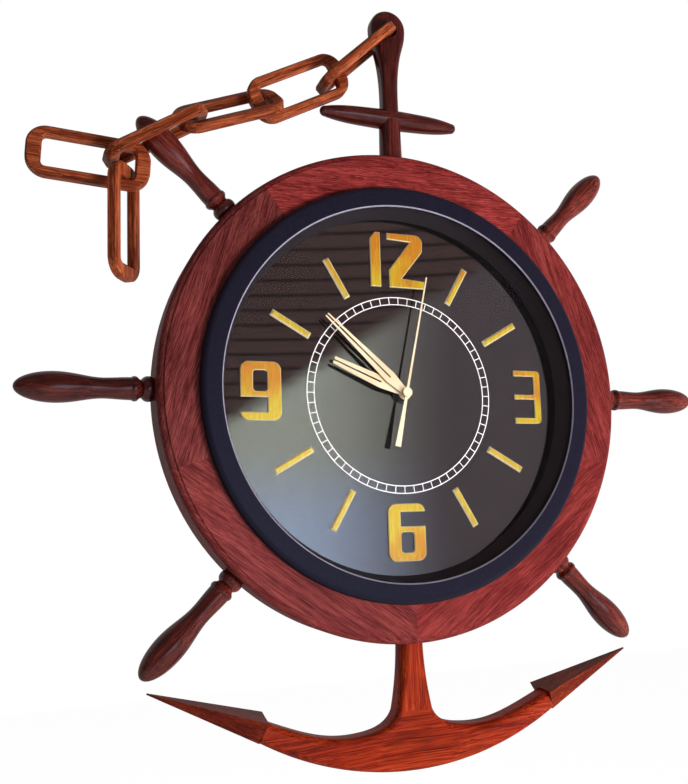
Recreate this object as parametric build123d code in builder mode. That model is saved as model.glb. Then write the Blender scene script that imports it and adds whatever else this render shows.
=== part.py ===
from build123d import *
import os
from math import atan2, cos, degrees, radians, sin, sqrt

# A ship's-wheel wall clock: a rim of five felloes with turned handles, an anchor that runs through
# it from top to bottom, a chain of six carved links and a quartz clock set into the wheel.
# Millimetres. X to the right, Z up, the front faces -Y and the wall is the plane Y = 0.
# The origin is the hole of the keyhole hanger on the back of the rim, at twelve o'clock.
# Angles on the wheel and the dial run clockwise from twelve o'clock, as the viewer sees them.
# Heights are distances off the wall, towards the viewer.

os.makedirs("parts", exist_ok=True)

# Fits shared by all pieces
overrun = 5.0
glue_gap = 0.05
seat_gap = 0.3
running_gap = 0.08

# Rim
rim_radius = 177.5
rim_thickness = 34.0
rim_front_round = 5.0
rim_front_step = 0.8
rim_back_round = 2.5
rabbet_depth = 3.0
rabbet_width = 12.0
felloe_count = 5
felloe_start = -36.0
dowel_radius = 4.0
dowel_length = 36.0
dowel_spacing = 12.0
dowel_wall = 5.5
dowel_play = 1.0

# Spokes: the line of the handles, the anchor and the chain, off the wall
spoke_height = 18.0
tenon_radius = 5.0
tenon_length = 17.0
tenon_play = 1.0

# Turned handles
handle_angles = {
    "upper_right": 45,
    "right": 90,
    "lower_right": 135,
    "lower_left": 225,
    "left": 270,
    "upper_left": 315,
}
collar_length = 6.6
collar_radius = 8.6
collar_crown = 1.1
groove_length = 3.0
groove_radius = 6.0
bead_length = 4.6
bead_radius = 8.4
bead_foot_radius = 7.0
flare_radius = 7.6
waist_radius = 6.9
bulb_radius = 10.2
grip_length = 47.4
tip_length = 25.0
waist_share = 0.42
quarter_turn_angle = 90.0

# Hanger: a keyhole plate let into the back of the rim
hanger_inset = 14.5
keyhole_radius = 4.5
keyhole_slot_radius = 2.2
keyhole_rise = 6.0
hanger_width = 44.0
hanger_height = 16.0
hanger_thickness = 1.2
head_pocket_radius = 6.0
head_pocket_depth = 8.0
hanger_screw_spacing = 32.0
hanger_screw_radius = 1.5
hanger_screw_head_radius = 2.9
hanger_screw_length = 11.0

# Anchor, measured from the rim's edge and from the wheel's axis
head_reach = 105.0
shank_length = 71.5
stock_half_length = 55.5
stock_radius = 7.4
stock_end_radius = 3.8
stock_neck_shares = ((0.36, 0.94), (0.74, 0.76))
post_radius = 8.6
peg_radius = 3.6
peg_socket_depth = 12.0
post_top_radius = 8.0
saddle_drop = 2.0
head_radius = 14.0
head_thickness = 13.6
shank_foot_radius = 6.4
shank_round = 4.5
shank_swell_shares = ((0.49, 0.1), (0.74, 0.52))
eye_drop = 2.0
stem_top_radius = 9.6
stem_foot_width = 27.2
stem_length = 45.5
stem_waist_share = 0.55
stem_corner_shares = (0.94, 0.74)
crown_depth = 41.0
arm_span = 109.0
arm_end_fall = 4.0
arm_end_height = 13.6
arm_depth = 18.0
arm_round = 4.5
arm_root = 38.0
arm_root_fall = 13.5
fluke_reach = 74.0
fluke_lift = 31.0
palm_width = 25.0
fluke_back_width = 13.0
fluke_height = 18.0
fluke_palm_step = 4.0
palm_tilt = 3.6
fluke_tip_share = 0.05
anchor_dowel_radius = 3.0
anchor_dowel_length = 24.0

# Chain links
link_width = 34.2
link_side = 6.8
link_end = 10.0
link_thickness = 7.2
link_corner = 13.5
link_hole_corner = 3.0
link_bevel = 1.2
link_play = 2.4
eye_play = 0.5
rest_gap = 0.8
link_1_slope_angle = 43.5
link_2_slope_angle = 28.0
link_2_lift = 3.6
link_3_lift = 1.3
link_3_roll_angle = 47.0
link_4_slope_angle = 32.0
link_4_slide = -0.6
link_5_slope_angle = 3.5
link_5_shift = 3.5
link_6_inset = 6.6
link_6_turn_angle = 57.0

# Clock insert
rim_face_width = 27.5
bezel_rise = 5.5
bezel_round = 1.4
bezel_face_width = 15.0
bezel_lip_thickness = 2.4
bezel_lip_round = 0.9
bezel_flange_width = 9.0
bezel_wall = 2.0
insert_gap = 0.5
crystal_thickness = 2.0
dial_depth = 12.7
dial_thickness = 1.5
chapter_top_width = 2.2
chapter_foot_width = 8.0
retainer_width = 6.0
retainer_thickness = 2.5
clip_angles = (72, 144, 216, 288)
clip_width = 10.0
clip_thickness = 1.2
clip_overlap = 3.5
clip_length = 15.5
clip_screw_radius = 1.4
clip_screw_head_radius = 2.8
clip_screw_head_height = 1.2
clip_screw_length = 8.0
clip_screw_inset = 5.0

# Applied numerals and batons
marker_height = 1.6
marker_bevel = 0.5
numeral_height = 41.0
numeral_width = 29.0
numeral_corner = 6.0
numeral_hole_corner = 2.5
numeral_margin = 35.0
numeral_side_margin = 29.5
nine_hole_shares = (0.31, 0.495, 0.665, 0.853)
nine_notch_shares = (0, 0.141, 0.665, 0.397)
three_width = 23.0
three_upright = 5.6
three_bar = 4.4
three_middle_bar = 3.6
three_corner = 3.5
one_width = 8.0
one_gap = 5.6
one_slant = 5.0
two_shares = (
    (0, 1),
    (0, 0.885),
    (0.64, 0.86),
    (0.04, 0.32),
    (0.04, 0),
    (1, 0),
    (1, 0.14),
    (0.38, 0.17),
    (0.97, 0.69),
    (1, 1),
)
baton_width = 5.0
baton_length = 32.0
baton_margin = 23.0
baton_bevel = 1.2

# Hands
hour_hand_angle = 293.0
minute_hand_angle = 313.0
second_hand_angle = 12.5
hand_thickness = 0.8
hand_spacing = 2.1
hand_slit = 1.2
hub_wall = 2.2
hour_hand_length = 58.0
hour_hand_width = 9.0
hour_hand_tip_width = 5.4
hour_hand_belly_share = 0.34
minute_hand_length = 80.0
minute_hand_width = 8.8
minute_hand_tip_width = 3.2
minute_hand_belly_share = 0.2
second_hand_length = 88.0
second_hand_tail = 40.0
second_hand_width = 1.8
second_hand_tip_width = 1.0
second_hand_tail_width = 4.4
boss_radius = 3.5
boss_height = 2.0

# Movement
case_size = 56.0
case_depth = 16.0
case_wall = 1.5
case_front = 1.2
cover_thickness = 1.0
case_corner = 3.0
bushing_radius = 4.0
bushing_length = 5.8
dial_hole_gap = 0.15
washer_radius = 6.8
washer_thickness = 0.5
nut_across_flats = 11.0
nut_height = 2.2
second_arbor_radius = 0.85
pipe_wall = 0.8
arbor_radius = 0.7
pivot_depth = 0.7
stud_radius = 0.8
wheel_thickness = 0.8
layer_pitch = 1.8
hour_layer_drop = 1.6
train_module = 0.3
rotor_module = 0.25
addendum_share = 0.8
dedendum_share = 1.1
tooth_root_share = 0.26
tooth_tip_share = 0.13
third_angle = 60.0
motion_angle = 300.0
intermediate_angle = 240.0
rotor_angle = 270.0
magnet_radius = 2.6
magnet_height = 2.0
stator_thickness = 1.4
stator_gap = 0.7
stator_margin = 2.2
stator_strip_width = 3.2
coil_radius = 3.5
coil_length = 16.0
coil_core_width = 5.0
coil_core_reach = 3.5
coil_inset = 1.2
coil_rise = 10.0
board_width = 26.0
board_height = 12.0
board_thickness = 1.0
board_inset = 1.5
board_offset = 7.0
knob_radius = 5.5
knob_height = 2.4
knob_gap = 0.4
battery_radius = 7.1
battery_length = 49.5
battery_nub_radius = 2.7
battery_nub_length = 1.0
bay_wall = 0.8
bay_gap = 0.2
contact_thickness = 1.0
contact_size = 9.0
post_boss_radius = 2.4
cover_screw_radius = 0.9
cover_screw_head_radius = 1.7
cover_screw_head_height = 0.7
cover_screw_length = 6.0
cover_screw_inset = 3.2

# Teeth of the train: driver pinion and wheel of each mesh
rotor_teeth = 8
intermediate_teeth = 48
intermediate_pinion_teeth = 10
seconds_teeth = 50
seconds_pinion_teeth = 8
third_teeth = 60
third_pinion_teeth = 8
centre_teeth = 64
cannon_teeth = 12
minute_teeth = 36
minute_pinion_teeth = 10
hour_teeth = 40
setting_teeth = 12

# Worked-out places
hanger_radius = rim_radius - hanger_inset
axis_z = -hanger_radius
head_rise = rim_radius + head_reach
stock_rise = head_rise - shank_length
stem_drop = rim_radius + stem_length
arm_drop = stem_drop + arm_end_fall
arm_root_drop = stem_drop + arm_root_fall
crown_drop = stem_drop + crown_depth
fluke_span = arm_span + fluke_reach
fluke_drop = arm_drop - fluke_lift
bezel_radius = rim_radius - rim_face_width
bezel_lip_radius = bezel_radius - bezel_face_width
bezel_wall_radius = bezel_radius - bezel_flange_width
bezel_bore_radius = bezel_wall_radius - bezel_wall
clip_inner = bezel_bore_radius - clip_overlap
clip_screw_reach = clip_inner + clip_length - clip_screw_inset
numeral_reach = bezel_lip_radius - numeral_margin
numeral_side_reach = bezel_lip_radius - numeral_side_margin
baton_outer_radius = bezel_lip_radius - baton_margin
baton_inner_radius = baton_outer_radius - baton_length
felloe_angle = 360 / felloe_count
rim_bore_radius = bezel_wall_radius + insert_gap
rabbet_radius = rim_bore_radius + rabbet_width
dowel_line = rim_bore_radius + dowel_wall + dowel_radius
dial_front = rim_thickness - dial_depth
dial_back = dial_front - dial_thickness
bead_start = collar_length + groove_length
grip_start = bead_start + bead_length
bulb_start = grip_start + grip_length
wheel_axis = Axis((0, 0, axis_z), (0, 1, 0))
spoke_angles = (0, 180, *handle_angles.values())


def compass(angle):
    """Unit vector (right, up) on the wheel's face at a clock angle."""
    return sin(radians(angle)), cos(radians(angle))


def face_plane(height):
    """Plane parallel to the wall, centred on the wheel, facing the viewer."""
    return Plane(origin=(0, -height, axis_z), x_dir=(1, 0, 0), z_dir=(0, -1, 0))


def section_plane(angle, radius=0, height=0):
    """Plane through the wheel's axis: x runs outwards at the clock angle, y off the wall."""
    right, up = compass(angle)
    origin = (right * radius, -height, axis_z + up * radius)
    return Plane(origin=origin, x_dir=(right, 0, up), z_dir=(up, 0, -right))


def dial_plane(angle, height):
    """Plane parallel to the wall, centred on the wheel, whose y runs outwards at the clock angle."""
    right, up = compass(angle)
    return Plane(origin=(0, -height, axis_z), x_dir=(up, 0, -right), z_dir=(0, -1, 0))


def turning_plane(right, up):
    """Plane through a line square to the wall at a place on the wheel: x to the right, y off the wall."""
    return Plane(origin=(right, 0, axis_z + up), x_dir=(1, 0, 0), z_dir=(0, 0, -1))


def turning_axis(right, up):
    """The line square to the wall at a place on the wheel."""
    return Axis((right, 0, axis_z + up), (0, -1, 0))


def spoke_plane(angle, radius):
    """Plane across a spoke's line at a distance from the wheel's axis, facing outwards."""
    right, up = compass(angle)
    origin = (right * radius, -spoke_height, axis_z + up * radius)
    return Plane(origin=origin, x_dir=(up, 0, -right), z_dir=(right, 0, up))


def spoke_axis(angle):
    """Line of a spoke, outwards."""
    right, up = compass(angle)
    return Axis((0, -spoke_height, axis_z), (right, 0, up))


def save(builder, name):
    builder.part.label = name
    export_step(builder.part, f"parts/{name}.step")


# Rim of felloes, butt joined, each with its dowel holes, spoke sockets and clip pilots
dowel_heights = (rim_thickness / 2 - dowel_spacing / 2, rim_thickness / 2 + dowel_spacing / 2)


def lies_within(angle, start):
    """Whether a clock angle falls on a felloe, its joints included."""
    return (angle - start) % 360 <= felloe_angle or (start - angle) % 360 == 0


for index in range(felloe_count):
    start = felloe_start + index * felloe_angle
    with BuildPart() as felloe:
        with BuildSketch(section_plane(start)):
            with BuildLine():
                front = rim_thickness - rim_front_step
                Polyline(
                    (rim_radius - rim_front_round, front),
                    (rim_radius - rim_front_round, rim_thickness),
                    (rim_bore_radius, rim_thickness),
                    (rim_bore_radius, rabbet_depth),
                    (rabbet_radius, rabbet_depth),
                    (rabbet_radius, 0),
                    (rim_radius - rim_back_round, 0),
                )
                RadiusArc((rim_radius - rim_back_round, 0), (rim_radius, rim_back_round), -rim_back_round)
                Line((rim_radius, rim_back_round), (rim_radius, front - rim_front_round))
                RadiusArc(
                    (rim_radius, front - rim_front_round),
                    (rim_radius - rim_front_round, front),
                    -rim_front_round,
                )
            make_face()
        revolve(axis=wheel_axis, revolution_arc=felloe_angle)
        for end in (start, start + felloe_angle):
            for height in dowel_heights:
                with BuildSketch(section_plane(end, dowel_line, height)):
                    Circle(dowel_radius + glue_gap)
                extrude(amount=dowel_length / 2 + dowel_play, both=True, mode=Mode.SUBTRACT)
        for angle in spoke_angles:
            if lies_within(angle, start):
                with BuildSketch(spoke_plane(angle, rim_radius + overrun)):
                    Circle(tenon_radius + glue_gap)
                extrude(amount=-(overrun + tenon_length + tenon_play), mode=Mode.SUBTRACT)
        for angle in clip_angles:
            if lies_within(angle, start):
                with BuildSketch(face_plane(0)):
                    right, up = compass(angle)
                    with Locations((right * clip_screw_reach, up * clip_screw_reach)):
                        Circle(clip_screw_radius + glue_gap)
                extrude(amount=clip_screw_length + rabbet_depth, mode=Mode.SUBTRACT)
        if lies_within(0, start):
            with BuildSketch(face_plane(0)):
                with Locations((0, hanger_radius)):
                    Rectangle(hanger_width + 2 * glue_gap, hanger_height + 2 * glue_gap)
            extrude(amount=hanger_thickness, mode=Mode.SUBTRACT)
            with BuildSketch(face_plane(hanger_thickness)):
                with Locations((0, hanger_radius + keyhole_rise / 2)):
                    SlotOverall(keyhole_rise + 2 * head_pocket_radius, 2 * head_pocket_radius, rotation=90)
            extrude(amount=head_pocket_depth, mode=Mode.SUBTRACT)
            with BuildSketch(face_plane(hanger_thickness)):
                with Locations((0, hanger_radius)):
                    with GridLocations(hanger_screw_spacing, 0, 2, 1):
                        Circle(hanger_screw_radius + glue_gap)
            extrude(amount=hanger_screw_length, mode=Mode.SUBTRACT)
    save(felloe, f"rim_felloe_{index + 1}")

with BuildPart() as felloe_dowels:
    for index in range(felloe_count):
        for height in dowel_heights:
            with BuildSketch(section_plane(felloe_start + index * felloe_angle, dowel_line, height)):
                Circle(dowel_radius)
            extrude(amount=dowel_length / 2, both=True)
save(felloe_dowels, "felloe_dowels")

# Turned handles: tenon, collar, groove, and a grip that swells to a bulb and ends in a round tip
for name, angle in handle_angles.items():
    with BuildPart() as handle:
        with BuildSketch(section_plane(angle, rim_radius + glue_gap, spoke_height)):
            with BuildLine():
                collar_edge = collar_radius - collar_crown
                Polyline(
                    (bulb_start + tip_length, 0),
                    (-tenon_length, 0),
                    (-tenon_length, tenon_radius),
                    (0, tenon_radius),
                    (0, collar_edge),
                )
                ThreePointArc((0, collar_edge), (collar_length / 2, collar_radius), (collar_length, collar_edge))
                Polyline(
                    (collar_length, collar_edge),
                    (collar_length + groove_length / 2, groove_radius),
                    (bead_start, bead_foot_radius),
                )
                ThreePointArc(
                    (bead_start, bead_foot_radius),
                    (bead_start + bead_length / 2, bead_radius),
                    (grip_start, flare_radius),
                )
                Spline(
                    (grip_start, flare_radius),
                    (grip_start + grip_length * waist_share, waist_radius),
                    (bulb_start, bulb_radius),
                    tangents=((1, 0), (1, 0)),
                )
                EllipticalCenterArc(
                    (bulb_start, 0),
                    tip_length,
                    bulb_radius,
                    start_angle=0,
                    arc_size=quarter_turn_angle,
                )
            make_face()
        revolve(axis=spoke_axis(angle))
    save(handle, f"handle_{name}")

# Keyhole hanger and its countersunk screws
with BuildPart() as hanger_plate:
    with BuildSketch(face_plane(0)):
        with Locations((0, hanger_radius)):
            Rectangle(hanger_width, hanger_height)
            Circle(keyhole_radius, mode=Mode.SUBTRACT)
            with Locations((0, keyhole_rise / 2)):
                Rectangle(2 * keyhole_slot_radius, keyhole_rise, mode=Mode.SUBTRACT)
            with Locations((0, keyhole_rise)):
                Circle(keyhole_slot_radius, mode=Mode.SUBTRACT)
    extrude(amount=hanger_thickness)
    for side in (-hanger_screw_spacing / 2, hanger_screw_spacing / 2):
        with BuildSketch(turning_plane(side, hanger_radius)):
            with BuildLine():
                Polyline(
                    (0, 0),
                    (hanger_screw_head_radius + glue_gap, 0),
                    (hanger_screw_radius + glue_gap, hanger_thickness),
                    (0, hanger_thickness),
                    close=True,
                )
            make_face()
        revolve(axis=turning_axis(side, hanger_radius), mode=Mode.SUBTRACT)
save(hanger_plate, "hanger_plate")

with BuildPart() as hanger_screws:
    for side in (-hanger_screw_spacing / 2, hanger_screw_spacing / 2):
        with BuildSketch(turning_plane(side, hanger_radius)):
            with BuildLine():
                Polyline(
                    (0, 0),
                    (hanger_screw_head_radius, 0),
                    (hanger_screw_radius, hanger_thickness),
                    (hanger_screw_radius, hanger_screw_length),
                    (0, hanger_screw_length),
                    close=True,
                )
            make_face()
        revolve(axis=turning_axis(side, hanger_radius))
save(hanger_screws, "hanger_screws")

# Anchor above the rim: a round post, the stock it carries and the shank with its eye
stock_axis = Axis((0, -spoke_height, axis_z + stock_rise), (1, 0, 0))
stock_cross_plane = Plane(origin=(0, -spoke_height, axis_z + stock_rise), x_dir=(0, 1, 0), z_dir=(1, 0, 0))
peg_top = stock_rise + stock_radius + peg_socket_depth

with BuildPart() as shank_post:
    with BuildSketch(section_plane(0, 0, spoke_height)):
        with BuildLine():
            Polyline(
                (rim_radius - tenon_length, 0),
                (rim_radius - tenon_length, tenon_radius),
                (rim_radius + glue_gap, tenon_radius),
                (rim_radius + glue_gap, post_radius),
                (stock_rise - saddle_drop, post_top_radius),
                (stock_rise - saddle_drop, 0),
                close=True,
            )
        make_face()
    revolve(axis=spoke_axis(0))
    with BuildSketch(stock_cross_plane):
        Circle(stock_radius + glue_gap)
    extrude(amount=post_radius + overrun, both=True, mode=Mode.SUBTRACT)
    with BuildSketch(spoke_plane(0, stock_rise - stock_radius - peg_radius)):
        Circle(peg_radius)
    extrude(amount=peg_top - stock_rise + stock_radius + peg_radius)
save(shank_post, "shank_post")

with BuildPart() as anchor_stock:
    with BuildSketch(Plane(origin=stock_axis.position, x_dir=(1, 0, 0), z_dir=(0, -1, 0))):
        with BuildLine():
            stock_shoulder = stock_half_length - stock_end_radius
            stock_side = [
                (share * stock_half_length, size * stock_radius)
                for share, size in stock_neck_shares
            ]
            Line((-stock_half_length, 0), (stock_half_length, 0))
            RadiusArc((stock_half_length, 0), (stock_shoulder, stock_end_radius), -stock_end_radius)
            Spline(
                (stock_shoulder, stock_end_radius),
                *reversed(stock_side),
                (0, stock_radius),
                *[(-across, size) for across, size in stock_side],
                (-stock_shoulder, stock_end_radius),
            )
            RadiusArc((-stock_shoulder, stock_end_radius), (-stock_half_length, 0), -stock_end_radius)
        make_face()
    revolve(axis=stock_axis)
    with BuildSketch(spoke_plane(0, stock_rise - stock_radius - overrun)):
        Circle(peg_radius + glue_gap)
    extrude(amount=2 * (stock_radius + overrun), mode=Mode.SUBTRACT)
save(anchor_stock, "anchor_stock")

eye_rise = head_rise - eye_drop
eye_hole_radius = sqrt(link_end**2 + link_thickness**2) / 2 - link_bevel / 2 + eye_play

with BuildPart() as anchor_shank:
    with BuildSketch(face_plane(spoke_height)):
        with BuildLine():
            swell = head_radius - shank_foot_radius
            Line((0, stock_rise), (shank_foot_radius, stock_rise))
            Spline(
                (shank_foot_radius, stock_rise),
                *[
                    (shank_foot_radius + size * swell, stock_rise + share * shank_length)
                    for share, size in shank_swell_shares
                ],
                (head_radius, head_rise),
                tangents=((0, 1), (0, 1)),
            )
            RadiusArc((head_radius, head_rise), (0, head_rise + head_radius), -head_radius)
            Line((0, head_rise + head_radius), (0, stock_rise))
        make_face()
        mirror(about=Plane.YZ)
    extrude(amount=head_thickness / 2, both=True)
    shank_rims = anchor_shank.faces().filter_by(Axis.Y).edges()
    fillet(shank_rims.filter_by(GeomType.LINE, reverse=True), radius=shank_round)
    with BuildSketch(face_plane(spoke_height)):
        with Locations((0, eye_rise)):
            Circle(eye_hole_radius)
    extrude(amount=head_thickness, both=True, mode=Mode.SUBTRACT)
    with BuildSketch(stock_cross_plane):
        Circle(stock_radius + glue_gap)
    extrude(amount=head_radius + overrun, both=True, mode=Mode.SUBTRACT)
    with BuildSketch(spoke_plane(0, stock_rise)):
        Circle(peg_radius + glue_gap)
    extrude(amount=peg_top - stock_rise + tenon_play, mode=Mode.SUBTRACT)
save(anchor_shank, "anchor_shank")

# Anchor below the rim: stem, arms cut from one board, and a fluke doweled to each arm
fluke_run = Vector(fluke_span - arm_span, 0, arm_drop - fluke_drop).normalized()
stem_waist = rim_radius + stem_waist_share * (stem_drop - rim_radius)
stem_waist_width = 2 * stem_top_radius + (stem_foot_width - 2 * stem_top_radius) * stem_waist_share**2
stem_top_corner, stem_waist_corner = [share * arm_depth / 2 for share in stem_corner_shares]


def fluke_plane(side, distance):
    """Plane across an arm's end, at a distance out along the fluke; side is 1 right, -1 left."""
    origin = Vector(
        side * (arm_span + fluke_run.X * distance),
        -spoke_height,
        axis_z - arm_drop + fluke_run.Z * distance,
    )
    return Plane(origin=origin, x_dir=(0, side, 0), z_dir=(side * fluke_run.X, 0, fluke_run.Z))


with BuildPart() as anchor_stem:
    with BuildSketch(spoke_plane(180, rim_radius + glue_gap)):
        RectangleRounded(2 * stem_top_radius, arm_depth, stem_top_corner)
    with BuildSketch(spoke_plane(180, stem_waist)):
        RectangleRounded(stem_waist_width, arm_depth, stem_waist_corner)
    with BuildSketch(spoke_plane(180, stem_drop)):
        RectangleRounded(stem_foot_width, arm_depth, arm_round)
    loft()
    with BuildSketch(spoke_plane(180, rim_radius - tenon_length)):
        Circle(tenon_radius)
    extrude(amount=tenon_length + tenon_radius)
    with BuildSketch(spoke_plane(180, stem_drop)):
        Circle(anchor_dowel_radius + glue_gap)
    extrude(amount=-(anchor_dowel_length / 2 + dowel_play), mode=Mode.SUBTRACT)
save(anchor_stem, "anchor_stem")

with BuildPart() as anchor_arms:
    with BuildSketch(face_plane(spoke_height)):
        with BuildLine():
            seat_drop = stem_drop + glue_gap
            half_end = arm_end_height / 2
            shoulder_top = (arm_span - fluke_run.Z * half_end, -arm_drop + fluke_run.X * half_end)
            shoulder_foot = (arm_span + fluke_run.Z * half_end, -arm_drop - fluke_run.X * half_end)
            Line((0, -seat_drop), (stem_foot_width / 2, -seat_drop))
            Spline(
                (stem_foot_width / 2, -seat_drop),
                (arm_root, -arm_root_drop),
                shoulder_top,
                tangents=((fluke_run.Z, -fluke_run.X), (fluke_run.X, fluke_run.Z)),
            )
            Line(shoulder_top, shoulder_foot)
            TangentArc((0, -crown_drop), shoulder_foot, tangent=(1, 0))
            Line((0, -crown_drop), (0, -seat_drop))
        make_face()
        mirror(about=Plane.YZ)
    extrude(amount=arm_depth / 2, both=True)
    arm_rims = anchor_arms.faces().filter_by(Axis.Y).edges()
    fillet(arm_rims.filter_by(GeomType.LINE, reverse=True), radius=arm_round)
    with BuildSketch(spoke_plane(180, seat_drop)):
        Circle(anchor_dowel_radius + glue_gap)
    extrude(amount=anchor_dowel_length / 2 + dowel_play, mode=Mode.SUBTRACT)
    for side in (-1, 1):
        with BuildSketch(fluke_plane(side, 0)):
            Circle(anchor_dowel_radius + glue_gap)
        extrude(amount=-(anchor_dowel_length / 2 + dowel_play), mode=Mode.SUBTRACT)
save(anchor_arms, "anchor_arms")

fluke_length = sqrt((fluke_span - arm_span) ** 2 + (arm_drop - fluke_drop) ** 2)
palm_top = arm_end_height / 2 + fluke_palm_step
palm_foot = palm_top - fluke_height

for name, side in (("left", -1), ("right", 1)):
    with BuildPart() as fluke:
        for distance, share in ((glue_gap, 1), (fluke_length, fluke_tip_share)):
            with BuildSketch(fluke_plane(side, distance)):
                Polygon(
                    (-side * palm_width / 2 * share, (palm_top - palm_tilt) * share),
                    (-side * fluke_back_width / 2 * share, palm_foot * share),
                    (side * fluke_back_width / 2 * share, palm_foot * share),
                    (side * palm_width / 2 * share, palm_top * share),
                    align=None,
                )
        loft(ruled=True)
        with BuildSketch(fluke_plane(side, 0)):
            Circle(anchor_dowel_radius + glue_gap)
        extrude(amount=anchor_dowel_length / 2 + dowel_play, mode=Mode.SUBTRACT)
    save(fluke, f"fluke_{name}")

with BuildPart() as anchor_dowels:
    for plane in (spoke_plane(180, stem_drop), fluke_plane(-1, 0), fluke_plane(1, 0)):
        with BuildSketch(plane):
            Circle(anchor_dowel_radius)
        extrude(amount=anchor_dowel_length / 2, both=True)
save(anchor_dowels, "anchor_dowels")

# Chain: where each link's end bars lie. A link runs down and to the left from one bar to the next;
# the links' length is the one at which the first hangs in the eye while the fourth rests on the
# upper left handle's tip.
wall_normal = Vector(0, 1, 0)


def downhill(slope):
    """Unit vector down to the left at a slope in degrees."""
    return Vector(-cos(radians(slope)), 0, -sin(radians(slope)))


def uphill(slope):
    """Unit vector square to downhill, upwards."""
    return Vector(-sin(radians(slope)), 0, cos(radians(slope)))


link_opening = link_width - 2 * link_side
seat_share = min(1, (link_opening / 2 - seat_gap) / bulb_radius)
seat_height = bulb_start + tip_length * sqrt(1 - seat_share**2) + link_thickness / 2
handle_right, handle_up = compass(handle_angles["upper_left"])
handle_reach = rim_radius + seat_height
tip_seat = Vector(handle_right * handle_reach, -spoke_height, axis_z + handle_up * handle_reach)
eye = Vector(0, -spoke_height, axis_z + eye_rise)

run_1 = downhill(link_1_slope_angle)
run_2 = downhill(link_2_slope_angle)
run_4 = downhill(link_4_slope_angle)
perch = tip_seat + run_4 * link_4_slide
lean_2 = radians(link_1_slope_angle - link_2_slope_angle)
hook_2 = (link_end + link_end * cos(lean_2) + link_thickness * sin(lean_2)) / 2 + link_play
hook_3 = link_end + link_play
hook_4 = link_end + link_play
lift_2 = uphill(link_2_slope_angle) * link_2_lift
lift_3 = uphill(link_4_slope_angle) * link_3_lift

# The third link spans what the others leave, so the bar spacing is the root of a quadratic
per_pitch = -(run_4 / 2) - run_1 - run_2
fixed = perch + run_4 * hook_4 + lift_3 - eye + run_2 * hook_2 - lift_2
square_term = per_pitch.dot(per_pitch) - 1
linear_term = per_pitch.dot(fixed) + hook_3
constant_term = fixed.dot(fixed) - hook_3**2
discriminant = linear_term**2 - square_term * constant_term
link_pitch = (-linear_term - sqrt(discriminant)) / square_term
link_length = link_pitch + link_end

bar_1 = eye + run_1 * link_pitch
bar_2_start = bar_1 - run_2 * hook_2 + lift_2
bar_2 = bar_2_start + run_2 * link_pitch
bar_4_start = perch - run_4 * (link_pitch / 2)
bar_4 = perch + run_4 * (link_pitch / 2)
bar_3 = bar_4_start + run_4 * hook_4 + lift_3
run_3 = (bar_3 - bar_2).normalized()
bar_3_start = bar_3 - run_3 * link_pitch
link_3_slope_angle = degrees(atan2(-run_3.Z, -run_3.X))
run_5 = downhill(-link_5_slope_angle)
bar_spacing_5 = link_width - link_side
pivot_5 = bar_4 - run_4 * (link_end / 2 - link_bevel) + uphill(link_4_slope_angle) * (link_thickness / 2)
link_5_reach = link_length / 2 + link_5_shift
link_5_reach -= link_pitch / 2 * cos(radians(link_4_slope_angle + link_5_slope_angle))
centre_5 = pivot_5 + run_5 * link_5_reach
centre_5 += uphill(-link_5_slope_angle) * (rest_gap + link_side / 2 - bar_spacing_5 / 2)
bar_6_start = centre_5 - run_5 * (link_length / 2 - link_end - link_6_inset)
bar_6_start -= uphill(-link_5_slope_angle) * (bar_spacing_5 / 2)
bar_6_start += Vector(0, 0, (link_side + link_end) / 2 + rest_gap)
run_6 = Vector(0, 0, -1)
across_6 = Vector(cos(radians(link_6_turn_angle)), sin(radians(link_6_turn_angle)), 0)
across_3 = wall_normal * cos(radians(link_3_roll_angle)) + uphill(link_3_slope_angle) * sin(radians(link_3_roll_angle))

links = (
    (eye + run_1 * (link_pitch / 2), run_1, wall_normal),
    (bar_2_start + run_2 * (link_pitch / 2), run_2, uphill(link_2_slope_angle)),
    (bar_3 - run_3 * (link_pitch / 2), run_3, across_3),
    (perch, run_4, wall_normal),
    (centre_5, run_5, uphill(-link_5_slope_angle)),
    (bar_6_start + run_6 * (link_pitch / 2), run_6, across_6),
)

for index, (centre, run, across) in enumerate(links):
    with BuildPart() as link:
        link_plane = Plane(origin=centre, x_dir=run, z_dir=run.cross(across))
        with BuildSketch(link_plane):
            RectangleRounded(link_length, link_width, link_corner)
            RectangleRounded(link_length - 2 * link_end, link_opening, link_hole_corner, mode=Mode.SUBTRACT)
        extrude(amount=link_thickness / 2, both=True)
        chamfer(link.faces().filter_by(link_plane).edges(), length=link_bevel)
    save(link, f"chain_link_{index + 1}")

# Clock insert: bezel with its wall through the rim, glass, chapter ring, dial and the ring behind it
bezel_front = rim_thickness + bezel_rise
lip_back = bezel_front - bezel_lip_thickness
crystal_front = lip_back - glue_gap
crystal_back = crystal_front - crystal_thickness
glazing_radius = bezel_bore_radius - seat_gap

with BuildPart() as bezel:
    with BuildSketch(section_plane(0)):
        with BuildLine():
            Polyline(
                (bezel_lip_radius + bezel_lip_round, bezel_front),
                (bezel_lip_radius, bezel_front - bezel_lip_round),
                (bezel_lip_radius, lip_back),
                (bezel_bore_radius, lip_back),
                (bezel_bore_radius, rabbet_depth + glue_gap),
                (bezel_wall_radius, rabbet_depth + glue_gap),
                (bezel_wall_radius, rim_thickness + glue_gap),
                (bezel_radius, rim_thickness + glue_gap),
                (bezel_radius, bezel_front - bezel_round),
            )
            RadiusArc(
                (bezel_radius, bezel_front - bezel_round),
                (bezel_radius - bezel_round, bezel_front),
                -bezel_round,
            )
            Line((bezel_radius - bezel_round, bezel_front), (bezel_lip_radius + bezel_lip_round, bezel_front))
        make_face()
    revolve(axis=wheel_axis)
save(bezel, "bezel")

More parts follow.
